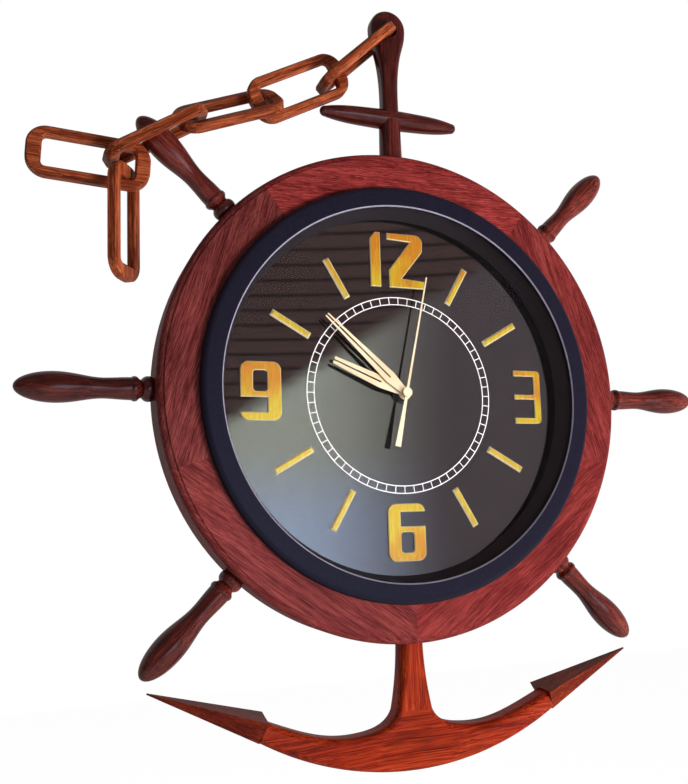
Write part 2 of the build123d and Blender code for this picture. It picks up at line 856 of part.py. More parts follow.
with BuildPart() as crystal:
    with BuildSketch(face_plane(crystal_back)):
        Circle(glazing_radius)
    extrude(amount=crystal_thickness)
save(crystal, "crystal")

with BuildPart() as chapter_ring:
    with BuildSketch(section_plane(0)):
        with BuildLine():
            Polyline(
                (glazing_radius, dial_front + glue_gap),
                (glazing_radius, crystal_back - glue_gap),
                (glazing_radius - chapter_top_width, crystal_back - glue_gap),
                (glazing_radius - chapter_foot_width, dial_front + glue_gap),
                close=True,
            )
        make_face()
    revolve(axis=wheel_axis)
save(chapter_ring, "chapter_ring")

with BuildPart() as dial_plate:
    with BuildSketch(face_plane(dial_back)):
        Circle(glazing_radius)
        Circle(bushing_radius + dial_hole_gap, mode=Mode.SUBTRACT)
    extrude(amount=dial_thickness)
save(dial_plate, "dial_plate")

with BuildPart() as dial_retainer:
    with BuildSketch(face_plane(dial_back - glue_gap)):
        Circle(bezel_bore_radius - glue_gap)
        Circle(bezel_bore_radius - retainer_width, mode=Mode.SUBTRACT)
    extrude(amount=-retainer_thickness)
save(dial_retainer, "dial_retainer")

# Clips on the rabbet's floor hold the bezel's wall, each by one screw into the rim
clip_front = rabbet_depth - glue_gap

with BuildPart() as retaining_clips:
    for angle in clip_angles:
        with BuildSketch(dial_plane(angle, clip_front)):
            with Locations((0, clip_inner + clip_length / 2)):
                Rectangle(clip_width, clip_length)
            with Locations((0, clip_screw_reach)):
                Circle(clip_screw_radius + glue_gap, mode=Mode.SUBTRACT)
        extrude(amount=-clip_thickness)
save(retaining_clips, "retaining_clips")

with BuildPart() as clip_screws:
    for angle in clip_angles:
        with BuildSketch(dial_plane(angle, clip_front - clip_thickness - glue_gap)):
            with Locations((0, clip_screw_reach)):
                Circle(clip_screw_head_radius)
        extrude(amount=-clip_screw_head_height)
        with BuildSketch(dial_plane(angle, clip_front - clip_thickness - glue_gap)):
            with Locations((0, clip_screw_reach)):
                Circle(clip_screw_radius)
        extrude(amount=clip_screw_length)
save(clip_screws, "clip_screws")

# Applied numerals and batons, bevelled on the front
marker_base = dial_front + glue_gap
marker_front_plane = face_plane(marker_base + marker_height)
one_left = -(one_width + one_gap + numeral_width) / 2
two_left = one_left + one_width + one_gap
twelve_foot = numeral_reach - numeral_height / 2


def span(left, foot, shares):
    """Centre and size of a box given as shares of a numeral's width and height."""
    low_x, low_y, high_x, high_y = shares
    centre = (left + numeral_width * (low_x + high_x) / 2, foot + numeral_height * (low_y + high_y) / 2)
    return centre, numeral_width * (high_x - low_x), numeral_height * (high_y - low_y)


with BuildPart() as hour_numerals:
    with BuildSketch(face_plane(marker_base)):
        Polygon(
            (one_left, twelve_foot),
            (one_left + one_width, twelve_foot),
            (one_left + one_width, twelve_foot + numeral_height),
            (one_left + one_width / 2, twelve_foot + numeral_height),
            (one_left, twelve_foot + numeral_height - one_slant),
            align=None,
        )
    extrude(amount=marker_height)
    with BuildSketch(face_plane(marker_base)) as two_face:
        two_corners = [(two_left + x * numeral_width, twelve_foot + y * numeral_height) for x, y in two_shares]
        Polygon(*two_corners, align=None)
        fillet(two_face.vertices().sort_by(Axis.X)[-4], radius=numeral_corner)
        fillet(two_face.vertices().sort_by(lambda corner: corner.X + corner.Y)[-1], radius=numeral_corner)
    extrude(amount=marker_height)
    with BuildSketch(face_plane(marker_base)) as three_face:
        with Locations((numeral_side_reach, 0)):
            Rectangle(three_width, numeral_height)
        fillet(three_face.vertices().sort_by(Axis.X)[-2:], radius=three_corner)
        three_gap = (numeral_height - 2 * three_bar - three_middle_bar) / 2
        with Locations((numeral_side_reach - three_upright / 2, 0)):
            with GridLocations(0, three_gap + three_middle_bar, 1, 2):
                Rectangle(three_width - three_upright, three_gap, mode=Mode.SUBTRACT)
    extrude(amount=marker_height)
    for turned_plane, left, foot in (
        (face_plane(marker_base), -numeral_side_reach - numeral_width / 2, -numeral_height / 2),
        (dial_plane(180, marker_base), -numeral_width / 2, numeral_reach - numeral_height / 2),
    ):
        hole_centre, hole_width, hole_height = span(left, foot, nine_hole_shares)
        notch_centre, notch_width, notch_height = span(left, foot, nine_notch_shares)
        with BuildSketch(turned_plane):
            with Locations((left + numeral_width / 2, foot + numeral_height / 2)):
                RectangleRounded(numeral_width, numeral_height, numeral_corner)
            with Locations(hole_centre):
                RectangleRounded(hole_width, hole_height, numeral_hole_corner, mode=Mode.SUBTRACT)
            with Locations(notch_centre):
                Rectangle(notch_width, notch_height, mode=Mode.SUBTRACT)
        extrude(amount=marker_height)
    chamfer(hour_numerals.faces().group_by(Axis.Y)[0].edges(), length=marker_bevel)
save(hour_numerals, "hour_numerals")

with BuildPart() as hour_batons:
    for hour in range(12):
        if hour % 3:
            with BuildSketch(dial_plane(hour * 30, marker_base)):
                with Locations((0, (baton_inner_radius + baton_outer_radius) / 2)):
                    Rectangle(baton_width, baton_outer_radius - baton_inner_radius)
            extrude(amount=marker_height)
    chamfer(hour_batons.faces().group_by(Axis.Y)[0].edges(), length=baton_bevel)
save(hour_batons, "hour_batons")

# Heights and radii of the hands' pipes, one inside the other
case_front_face = dial_back - glue_gap
case_inside = case_front_face - case_front
case_back = case_front_face - case_depth
cover_front = case_back + cover_thickness
bushing_top = case_front_face + bushing_length
minute_bore_radius = second_arbor_radius + running_gap
minute_pipe_radius = minute_bore_radius + pipe_wall
hour_bore_radius = minute_pipe_radius + running_gap
hour_pipe_radius = hour_bore_radius + pipe_wall
bushing_bore_radius = hour_pipe_radius + running_gap
hour_hand_back = bushing_top + hand_spacing - hand_thickness
minute_hand_back = hour_hand_back + hand_spacing
second_hand_back = minute_hand_back + hand_spacing

hands = (
    (
        "hour_hand",
        dial_plane(hour_hand_angle, hour_hand_back),
        hour_pipe_radius,
        hour_hand_length,
        hour_hand_width,
        hour_hand_tip_width,
        hour_hand_belly_share,
    ),
    (
        "minute_hand",
        dial_plane(minute_hand_angle, minute_hand_back),
        minute_pipe_radius,
        minute_hand_length,
        minute_hand_width,
        minute_hand_tip_width,
        minute_hand_belly_share,
    ),
)

for name, plane, bore, length, width, tip_width, belly_share in hands:
    with BuildPart() as hand:
        with BuildSketch(plane):
            Polygon(
                (-hub_wall, 0),
                (hub_wall, 0),
                (width / 2, length * belly_share),
                (tip_width / 2, length),
                (-tip_width / 2, length),
                (-width / 2, length * belly_share),
                align=None,
            )
            with Locations((0, length * (1 + belly_share) / 2)):
                Rectangle(hand_slit, length * (1 - belly_share), mode=Mode.SUBTRACT)
            Circle(bore + hub_wall)
            Circle(bore + glue_gap, mode=Mode.SUBTRACT)
        extrude(amount=hand_thickness)
    save(hand, name)

with BuildPart() as second_hand:
    with BuildSketch(dial_plane(second_hand_angle, second_hand_back)):
        Polygon(
            (-second_hand_tail_width / 2, -second_hand_tail),
            (second_hand_tail_width / 2, -second_hand_tail),
            (second_hand_width / 2, 0),
            (second_hand_tip_width / 2, second_hand_length),
            (-second_hand_tip_width / 2, second_hand_length),
            (-second_hand_width / 2, 0),
            align=None,
        )
    extrude(amount=hand_thickness)
    with BuildSketch(dial_plane(second_hand_angle, second_hand_back)):
        Circle(boss_radius)
    extrude(amount=boss_height)
    with BuildSketch(dial_plane(second_hand_angle, second_hand_back)):
        Circle(second_arbor_radius + glue_gap)
    extrude(amount=boss_height / 2, mode=Mode.SUBTRACT)
save(second_hand, "second_hand")

# Layers of the train, from the hour wheel at the front to the rotor at the back
layers = [case_inside - hour_layer_drop - index * layer_pitch for index in range(6)]
hour_layer, motion_layer, centre_layer, third_layer, seconds_layer, rotor_layer = layers
motion_module = train_module * (minute_pinion_teeth + hour_teeth) / (cannon_teeth + minute_teeth)
third_module = train_module * (third_pinion_teeth + centre_teeth) / (seconds_pinion_teeth + third_teeth)
third_distance = train_module * (third_pinion_teeth + centre_teeth) / 2
motion_distance = train_module * (minute_pinion_teeth + hour_teeth) / 2
setting_distance = motion_distance + motion_module * (minute_teeth + setting_teeth) / 2
intermediate_distance = train_module * (intermediate_pinion_teeth + seconds_teeth) / 2
rotor_distance = rotor_module * (rotor_teeth + intermediate_teeth) / 2


def place(angle, distance):
    """Right and up from the wheel's axis at a clock angle and distance."""
    right, up = compass(angle)
    return right * distance, up * distance


third_place = place(third_angle, third_distance)
motion_place = place(motion_angle, motion_distance)
setting_place = place(motion_angle, setting_distance)
intermediate_place = place(intermediate_angle, intermediate_distance)
rotor_shift = place(rotor_angle, rotor_distance)
rotor_place = (intermediate_place[0] + rotor_shift[0], intermediate_place[1] + rotor_shift[1])
centre_place = (0, 0)


def bearing(start, end):
    """Angle of the line between two places, counter-clockwise from the right."""
    return degrees(atan2(end[1] - start[1], end[0] - start[0]))


def meshed(teeth, turn, start, end, other_teeth):
    """Turn of a wheel at end that puts its gap on the tooth of the wheel at start."""
    line = bearing(start, end)
    return line + 180 + 180 / other_teeth - (turn - line) * teeth / other_teeth


def gear_outline(teeth, module, turn):
    """Points of a wheel with straight-flanked teeth, the first tooth's middle at the turn."""
    pitch = 360 / teeth
    root = module * (teeth / 2 - dedendum_share)
    tip = module * (teeth / 2 + addendum_share)
    points = []
    for tooth in range(teeth):
        for radius, share in (
            (root, -tooth_root_share),
            (tip, -tooth_tip_share),
            (tip, tooth_tip_share),
            (root, tooth_root_share),
        ):
            angle = radians(turn + (tooth + share) * pitch)
            points.append((radius * cos(angle), radius * sin(angle)))
    return points


def root_radius(teeth, module):
    return module * (teeth / 2 - dedendum_share)


def wheel_solid(where, layer, teeth, module, turn):
    """A toothed disc whose back is at the layer's height."""
    with BuildPart() as disc:
        with BuildSketch(face_plane(layer)):
            with Locations(where):
                Polygon(*gear_outline(teeth, module, turn), align=None)
        extrude(amount=wheel_thickness)
    return disc.part


def rod_solid(where, low, high, radius):
    """A round rod square to the wall between two heights."""
    with BuildPart() as rod:
        with BuildSketch(face_plane(low)):
            with Locations(where):
                Circle(radius)
        extrude(amount=high - low)
    return rod.part


pivot_low = cover_front - pivot_depth
pivot_high = case_inside + pivot_depth
intermediate_turn = meshed(rotor_teeth, 0, rotor_place, intermediate_place, intermediate_teeth)
seconds_turn = meshed(intermediate_pinion_teeth, 0, intermediate_place, centre_place, seconds_teeth)
third_turn = meshed(seconds_pinion_teeth, 0, centre_place, third_place, third_teeth)
centre_turn = meshed(third_pinion_teeth, 0, third_place, centre_place, centre_teeth)
minute_turn = meshed(cannon_teeth, 0, centre_place, motion_place, minute_teeth)
setting_turn = meshed(minute_teeth, minute_turn, motion_place, setting_place, setting_teeth)
hour_turn = meshed(minute_pinion_teeth, 0, motion_place, centre_place, hour_teeth)
magnet_low = cover_front + seat_gap
sleeve_radius = root_radius(cannon_teeth, motion_module)
layer_top = layer_pitch - wheel_thickness

with BuildPart() as rotor:
    add(rod_solid(rotor_place, pivot_low, pivot_high, arbor_radius))
    add(rod_solid(rotor_place, magnet_low, magnet_low + magnet_height, magnet_radius))
    add(wheel_solid(rotor_place, rotor_layer, rotor_teeth, rotor_module, 0))
save(rotor, "rotor")

with BuildPart() as intermediate_wheel:
    add(wheel_solid(intermediate_place, rotor_layer, intermediate_teeth, rotor_module, intermediate_turn))
    add(wheel_solid(intermediate_place, seconds_layer, intermediate_pinion_teeth, train_module, 0))
    add(
        rod_solid(
            intermediate_place,
            rotor_layer,
            seconds_layer + wheel_thickness,
            root_radius(intermediate_pinion_teeth, train_module),
        )
    )
    add(
        rod_solid(intermediate_place, pivot_low, pivot_high, arbor_radius + running_gap),
        mode=Mode.SUBTRACT,
    )
save(intermediate_wheel, "intermediate_wheel")

with BuildPart() as seconds_wheel:
    add(rod_solid(centre_place, pivot_low, second_hand_back + boss_height / 2 - glue_gap, second_arbor_radius))
    add(wheel_solid(centre_place, seconds_layer, seconds_teeth, train_module, seconds_turn))
    add(wheel_solid(centre_place, third_layer, seconds_pinion_teeth, third_module, 0))
save(seconds_wheel, "seconds_wheel")

with BuildPart() as third_wheel:
    add(rod_solid(third_place, pivot_low, pivot_high, arbor_radius))
    add(wheel_solid(third_place, third_layer, third_teeth, third_module, third_turn))
    add(wheel_solid(third_place, centre_layer, third_pinion_teeth, train_module, 0))
save(third_wheel, "third_wheel")

with BuildPart() as centre_wheel:
    add(wheel_solid(centre_place, centre_layer, centre_teeth, train_module, centre_turn))
    add(rod_solid(centre_place, centre_layer, motion_layer + wheel_thickness, sleeve_radius))
    add(wheel_solid(centre_place, motion_layer, cannon_teeth, motion_module, 0))
    add(
        rod_solid(
            centre_place,
            motion_layer + wheel_thickness,
            minute_hand_back + hand_thickness,
            minute_pipe_radius,
        )
    )
    add(rod_solid(centre_place, 0, rim_thickness, minute_bore_radius), mode=Mode.SUBTRACT)
save(centre_wheel, "centre_wheel")

with BuildPart() as minute_wheel:
    add(wheel_solid(motion_place, motion_layer, minute_teeth, motion_module, minute_turn))
    add(
        rod_solid(
            motion_place,
            motion_layer,
            hour_layer + wheel_thickness,
            root_radius(minute_pinion_teeth, train_module),
        )
    )
    add(wheel_solid(motion_place, hour_layer, minute_pinion_teeth, train_module, 0))
    add(rod_solid(motion_place, 0, rim_thickness, stud_radius + running_gap), mode=Mode.SUBTRACT)
save(minute_wheel, "minute_wheel")

with BuildPart() as hour_wheel:
    add(wheel_solid(centre_place, hour_layer, hour_teeth, train_module, hour_turn))
    add(rod_solid(centre_place, hour_layer, hour_hand_back + hand_thickness, hour_pipe_radius))
    add(rod_solid(centre_place, 0, rim_thickness, hour_bore_radius), mode=Mode.SUBTRACT)
save(hour_wheel, "hour_wheel")

knob_front = case_back - knob_gap

with BuildPart() as setting_arbor:
    add(rod_solid(setting_place, knob_front - knob_height / 2, pivot_high, arbor_radius))
    add(wheel_solid(setting_place, motion_layer, setting_teeth, motion_module, setting_turn))
save(setting_arbor, "setting_arbor")

with BuildPart() as setting_knob:
    add(rod_solid(setting_place, knob_front - knob_height, knob_front, knob_radius))
    add(
        rod_solid(setting_place, knob_front - knob_height / 2 - glue_gap, knob_front, arbor_radius + glue_gap),
        mode=Mode.SUBTRACT,
    )
save(setting_knob, "setting_knob")

# Movement case with the bushing and the minute wheel's stud, and the cover that holds the back pivots
case_half = case_size / 2
case_bore = case_half - case_wall
bay_top = -case_bore + 2 * (battery_radius + bay_gap)
cover_foot = bay_top
cover_top_middle = (case_half + cover_foot) / 2
screw_post = case_half - cover_screw_inset
cover_screw_places = (
    (-screw_post, screw_post),
    (screw_post, screw_post),
    (screw_post, bay_top + bay_wall / 2 + post_boss_radius),
)
battery_height = case_inside - bay_gap - battery_radius
battery_place = -case_bore + bay_gap + battery_radius

with BuildPart() as movement_case:
    with BuildSketch(face_plane(cover_front + glue_gap)):
        RectangleRounded(case_size, case_size, case_corner)
    extrude(amount=case_front_face - cover_front - glue_gap)
    with BuildSketch(face_plane(cover_front)):
        with Locations((0, (case_bore + bay_top + bay_wall) / 2)):
            Rectangle(2 * case_bore, case_bore - bay_top - bay_wall)
        with Locations((0, (bay_top - case_bore) / 2)):
            Rectangle(2 * case_bore, bay_top + case_bore)
    extrude(amount=case_inside - cover_front, mode=Mode.SUBTRACT)
    for where in cover_screw_places:
        add(rod_solid(where, cover_front + glue_gap, case_front_face, post_boss_radius))
    for where in cover_screw_places:
        add(
            rod_solid(where, case_back, case_back + cover_screw_length, cover_screw_radius + glue_gap),
            mode=Mode.SUBTRACT,
        )
    add(rod_solid(centre_place, case_inside, bushing_top, bushing_radius))
    add(rod_solid(centre_place, 0, rim_thickness, bushing_bore_radius), mode=Mode.SUBTRACT)
    add(rod_solid(motion_place, motion_layer, case_front_face, stud_radius))
    for where in (third_place, rotor_place, setting_place):
        add(rod_solid(where, 0, pivot_high + glue_gap, arbor_radius + running_gap), mode=Mode.SUBTRACT)
save(movement_case, "movement_case")

with BuildPart() as movement_cover:
    with BuildSketch(face_plane(case_back)):
        with Locations((0, cover_top_middle)):
            RectangleRounded(case_size, case_half - cover_foot, case_corner)
    extrude(amount=cover_thickness)
    for where in (third_place, rotor_place, setting_place):
        add(rod_solid(where, 0, rim_thickness, arbor_radius + running_gap), mode=Mode.SUBTRACT)
    add(rod_solid(centre_place, 0, rim_thickness, second_arbor_radius + running_gap), mode=Mode.SUBTRACT)
    for where in cover_screw_places:
        add(rod_solid(where, 0, rim_thickness, cover_screw_radius + glue_gap), mode=Mode.SUBTRACT)
    add(rod_solid(intermediate_place, case_back, seconds_layer + wheel_thickness, arbor_radius))
save(movement_cover, "movement_cover")

with BuildPart() as cover_screws:
    for where in cover_screw_places:
        head_front = case_back - glue_gap
        add(rod_solid(where, head_front - cover_screw_head_height, head_front, cover_screw_head_radius))
        add(rod_solid(where, head_front, head_front + cover_screw_length, cover_screw_radius))
save(cover_screws, "cover_screws")

with BuildPart() as dial_washer:
    with BuildSketch(face_plane(dial_front + glue_gap)):
        Circle(washer_radius)
        Circle(bushing_radius + dial_hole_gap, mode=Mode.SUBTRACT)
    extrude(amount=washer_thickness)
save(dial_washer, "dial_washer")

with BuildPart() as bushing_nut:
    with BuildSketch(face_plane(dial_front + washer_thickness + 2 * glue_gap)):
        RegularPolygon(nut_across_flats / 2, 6, major_radius=False)
        Circle(bushing_radius + glue_gap, mode=Mode.SUBTRACT)
    extrude(amount=nut_height)
save(bushing_nut, "bushing_nut")

# Stepping motor, circuit board and battery
stator_back = cover_front + glue_gap
coil_across = -case_bore + coil_inset + coil_radius
coil_height = cover_front + seat_gap + coil_radius
core_back = coil_height - stator_thickness / 2
core_half = coil_length / 2 + coil_core_reach
rotor_right, rotor_up = rotor_place
stator_hole_radius = magnet_radius + stator_gap
strip_right = rotor_right - stator_gap
coil_left = coil_across - coil_core_width / 2
foot_low = coil_rise - core_half

with BuildPart() as stator:
    with BuildSketch(face_plane(stator_back)):
        with Locations(rotor_place):
            Circle(stator_hole_radius + stator_margin)
        with Locations(((coil_left + rotor_right) / 2, foot_low + coil_core_reach / 2)):
            Rectangle(rotor_right - coil_left, coil_core_reach)
        with Locations((strip_right - stator_strip_width / 2, (rotor_up + coil_rise + core_half) / 2)):
            Rectangle(stator_strip_width, coil_rise + core_half - rotor_up)
        with Locations(((coil_left + strip_right) / 2, coil_rise + core_half - coil_core_reach / 2)):
            Rectangle(strip_right - coil_left, coil_core_reach)
        with Locations(rotor_place):
            Circle(stator_hole_radius, mode=Mode.SUBTRACT)
    extrude(amount=stator_thickness)
    with BuildSketch(face_plane(stator_back)):
        with Locations((coil_across, coil_rise)):
            with GridLocations(0, 2 * core_half - coil_core_reach / 2, 1, 2):
                Rectangle(coil_core_width, coil_core_reach / 2)
    extrude(amount=core_back - stator_back - glue_gap)
save(stator, "stator")

with BuildPart() as coil:
    with BuildSketch(Plane(origin=(coil_across, -coil_height, axis_z + coil_rise), z_dir=(0, 0, 1))):
        Circle(coil_radius)
    extrude(amount=coil_length / 2, both=True)
    with BuildSketch(face_plane(core_back)):
        with Locations((coil_across, coil_rise)):
            Rectangle(coil_core_width, 2 * core_half)
    extrude(amount=stator_thickness)
save(coil, "coil")

with BuildPart() as circuit_board:
    with BuildSketch(face_plane(cover_front + glue_gap)):
        with Locations((board_offset, case_bore - board_inset - board_height / 2)):
            Rectangle(board_width, board_height)
    extrude(amount=board_thickness)
save(circuit_board, "circuit_board")

with BuildPart() as battery:
    battery_left = -(battery_length + battery_nub_length) / 2
    battery_plane = Plane(origin=(battery_left, -battery_height, axis_z + battery_place), z_dir=(1, 0, 0))
    with BuildSketch(battery_plane):
        Circle(battery_radius)
    extrude(amount=battery_length)
    with BuildSketch(battery_plane):
        Circle(battery_nub_radius)
    extrude(amount=battery_length + battery_nub_length)
save(battery, "battery")

with BuildPart() as battery_contacts:
    for side in (-1, 1):
        outside = side * (case_bore - glue_gap)
        plane = Plane(origin=(outside, -battery_height, axis_z + battery_place), z_dir=(-side, 0, 0))
        with BuildSketch(plane):
            Rectangle(contact_size, contact_size)
        extrude(amount=contact_thickness)
save(battery_contacts, "battery_contacts")

# Centres of the joints, in metres, for the record
for name, centre in (
    ("eye", eye),
    ("bar_1", bar_1),
    ("bar_3_start", bar_3_start),
    ("bar_4_start", bar_4_start),
    ("pivot_5", pivot_5),
    ("bar_6_start", bar_6_start),
    ("middle_2", links[1][0]),
    ("middle_5", centre_5),
):
    print(name, [round(value / 1000, 6) for value in centre])
print("across_6", [round(value, 6) for value in across_6])
for name, (right, up) in (
    ("centre", centre_place),
    ("third", third_place),
    ("motion", motion_place),
    ("setting", setting_place),
    ("intermediate", intermediate_place),
    ("rotor", rotor_place),
):
    print(name, [round(right / 1000, 6), 0, round((axis_z + up) / 1000, 6)])
print("link length", round(link_length, 3))
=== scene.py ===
import math

import bpy
import numpy as np
from mathutils import Matrix, Vector


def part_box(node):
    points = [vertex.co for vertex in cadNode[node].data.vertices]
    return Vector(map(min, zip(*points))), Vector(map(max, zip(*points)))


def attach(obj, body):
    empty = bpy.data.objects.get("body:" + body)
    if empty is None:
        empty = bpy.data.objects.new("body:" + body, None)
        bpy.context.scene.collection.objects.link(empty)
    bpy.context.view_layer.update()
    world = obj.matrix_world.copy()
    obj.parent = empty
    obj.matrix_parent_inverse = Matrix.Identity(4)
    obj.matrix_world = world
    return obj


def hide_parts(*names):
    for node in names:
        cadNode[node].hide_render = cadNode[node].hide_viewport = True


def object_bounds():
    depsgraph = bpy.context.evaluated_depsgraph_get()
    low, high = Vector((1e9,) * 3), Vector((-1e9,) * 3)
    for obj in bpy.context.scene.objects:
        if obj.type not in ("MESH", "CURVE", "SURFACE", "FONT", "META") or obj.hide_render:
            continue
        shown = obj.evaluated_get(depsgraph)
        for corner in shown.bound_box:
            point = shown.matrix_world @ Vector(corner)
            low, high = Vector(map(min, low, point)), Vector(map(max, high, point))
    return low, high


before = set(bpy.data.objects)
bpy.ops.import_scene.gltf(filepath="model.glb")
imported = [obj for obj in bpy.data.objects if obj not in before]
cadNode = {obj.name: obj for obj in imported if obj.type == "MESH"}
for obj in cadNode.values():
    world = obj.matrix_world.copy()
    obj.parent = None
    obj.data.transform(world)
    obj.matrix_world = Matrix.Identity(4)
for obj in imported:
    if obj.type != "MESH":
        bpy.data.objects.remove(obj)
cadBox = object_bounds()
wheelDrop = 0.163  # the wheel's axis sits this far under the keyhole
print("frame loaded,", len(cadNode), "nodes")

# Small helpers for node trees


def addNode(tree, kind, **settings):
    made = tree.nodes.new(kind)
    for key, value in settings.items():
        setattr(made, key, value)
    return made


def wire(tree, source, target):
    tree.links.new(source, target)


def emptyMaterial(name):
    made = bpy.data.materials.new(name)
    made.use_nodes = True
    made.node_tree.nodes.clear()
    tree = made.node_tree
    output = addNode(tree, "ShaderNodeOutputMaterial")
    shader = addNode(tree, "ShaderNodeBsdfPrincipled")
    wire(tree, shader.outputs["BSDF"], output.inputs["Surface"])
    return made, tree, shader


def turnedSpace(tree, shift=(0, 0, 0), turn=(0, 0, 0)):
    # object coordinates moved by shift and turned, so that a pattern's own x runs along the grain
    coords = addNode(tree, "ShaderNodeTexCoord")
    place = addNode(tree, "ShaderNodeMapping", vector_type="POINT")
    place.inputs["Location"].default_value = shift
    place.inputs["Rotation"].default_value = turn
    wire(tree, coords.outputs["Object"], place.inputs["Vector"])
    return place.outputs["Vector"]


def splitAxes(tree, vector):
    made = addNode(tree, "ShaderNodeSeparateXYZ")
    wire(tree, vector, made.inputs["Vector"])
    return tuple(made.outputs[key] for key in ("X", "Y", "Z"))


def stretched(tree, space, scale):
    made = addNode(tree, "ShaderNodeVectorMath", operation="MULTIPLY")
    made.inputs[1].default_value = scale
    wire(tree, space, made.inputs[0])
    return made.outputs["Vector"]


def noise(tree, space, scale=1.0, detail=3.0, roughness=0.5):
    made = addNode(tree, "ShaderNodeTexNoise")
    made.inputs["Scale"].default_value = scale
    made.inputs["Detail"].default_value = detail
    made.inputs["Roughness"].default_value = roughness
    wire(tree, space, made.inputs["Vector"])
    return made.outputs["Fac"]


def ranged(tree, value, low, high, outLow=0.0, outHigh=1.0, smooth=False):
    made = addNode(tree, "ShaderNodeMapRange", clamp=True)
    made.interpolation_type = "SMOOTHSTEP" if smooth else "LINEAR"
    made.inputs["From Min"].default_value = low
    made.inputs["From Max"].default_value = high
    made.inputs["To Min"].default_value = outLow
    made.inputs["To Max"].default_value = outHigh
    wire(tree, value, made.inputs["Value"])
    return made.outputs["Result"]


def arithmetic(tree, operation, first, second=0.0):
    made = addNode(tree, "ShaderNodeMath", operation=operation)
    for index, value in enumerate((first, second)):
        if isinstance(value, (int, float)):
            made.inputs[index].default_value = value
        else:
            wire(tree, value, made.inputs[index])
    return made.outputs["Value"]


def ramp(tree, value, stops):
    made = addNode(tree, "ShaderNodeValToRGB")
    elements = made.color_ramp.elements
    while len(elements) < len(stops):
        elements.new(0.5)
    for element, (position, colour) in zip(elements, stops):
        element.position = position
        element.color = (*colour, 1.0)
    wire(tree, value, made.inputs["Fac"])
    return made.outputs["Color"]


def blend(tree, share, first, second, how="MIX"):
    made = addNode(tree, "ShaderNodeMix", data_type="RGBA", blend_type=how)
    # sockets 6, 7 and output 2 are the colour ones of this node
    pairs = ((made.inputs["Factor"], share), (made.inputs[6], first), (made.inputs[7], second))
    for socket, value in pairs:
        if isinstance(value, tuple):
            socket.default_value = (*value, 1.0)
        elif isinstance(value, (int, float)):
            socket.default_value = value
        else:
            wire(tree, value, socket)
    return made.outputs[2]


def bump(tree, shader, height, strength, distance):
    made = addNode(tree, "ShaderNodeBump")
    made.inputs["Strength"].default_value = strength
    made.inputs["Distance"].default_value = distance
    wire(tree, height, made.inputs["Height"])
    wire(tree, made.outputs["Normal"], shader.inputs["Normal"])


def lookedAt(tree):
    # 1 for what the camera, a mirror or glass looks at, 0 for rays that only carry light
    paths = addNode(tree, "ShaderNodeLightPath")
    mirrored = paths.outputs["Is Glossy Ray"]
    share = arithmetic(tree, "MAXIMUM", paths.outputs["Is Camera Ray"], mirrored)
    share = arithmetic(tree, "MAXIMUM", share, paths.outputs["Is Transmission Ray"])
    return share, mirrored


def dress(name, material):
    mesh = cadNode[name].data
    mesh.materials.clear()
    mesh.materials.append(material)


# Wood: what all boards share in their grain
grainLook = {
    "figureShare": 0.62,
    "bandShare": 0.38,
    "bandWidth": 5,  # times the width of a streak
    "stops": (0.37, 0.49, 0.61),
    "fleckSize": (1.7, 1.5),  # times the streaks along and across the grain
    "fleckEdges": (0.56, 0.68),
    "poreSize": (3.2, 3.6),
    "poreEdges": (0.55, 0.66),
    "poreDepth": 0.8,
    "cloudEdges": (0.32, 0.68),
    "glossEdges": (0.3, 0.7),
    "duller": 0.07,
    "shinier": 0.05,
    "height": 0.0006,
}


def grainNoise(tree, space, along, across, detail, roughness):
    return noise(tree, stretched(tree, space, (along, across, across)), 1.0, detail, roughness)


def wanderingSpace(tree, space, tone):
    # the grain's own space pushed sideways by a slow noise, so that streaks wander
    wander = addNode(tree, "ShaderNodeTexNoise")
    wander.inputs["Scale"].default_value = tone["wanderScale"]
    wander.inputs["Detail"].default_value = 2.0
    wire(tree, space, wander.inputs["Vector"])
    bend = addNode(tree, "ShaderNodeVectorMath", operation="MULTIPLY_ADD")
    bend.inputs[1].default_value = (0.0, tone["wander"], tone["wander"])
    wire(tree, wander.outputs["Color"], bend.inputs[0])
    wire(tree, space, bend.inputs[2])
    return bend.outputs["Vector"]


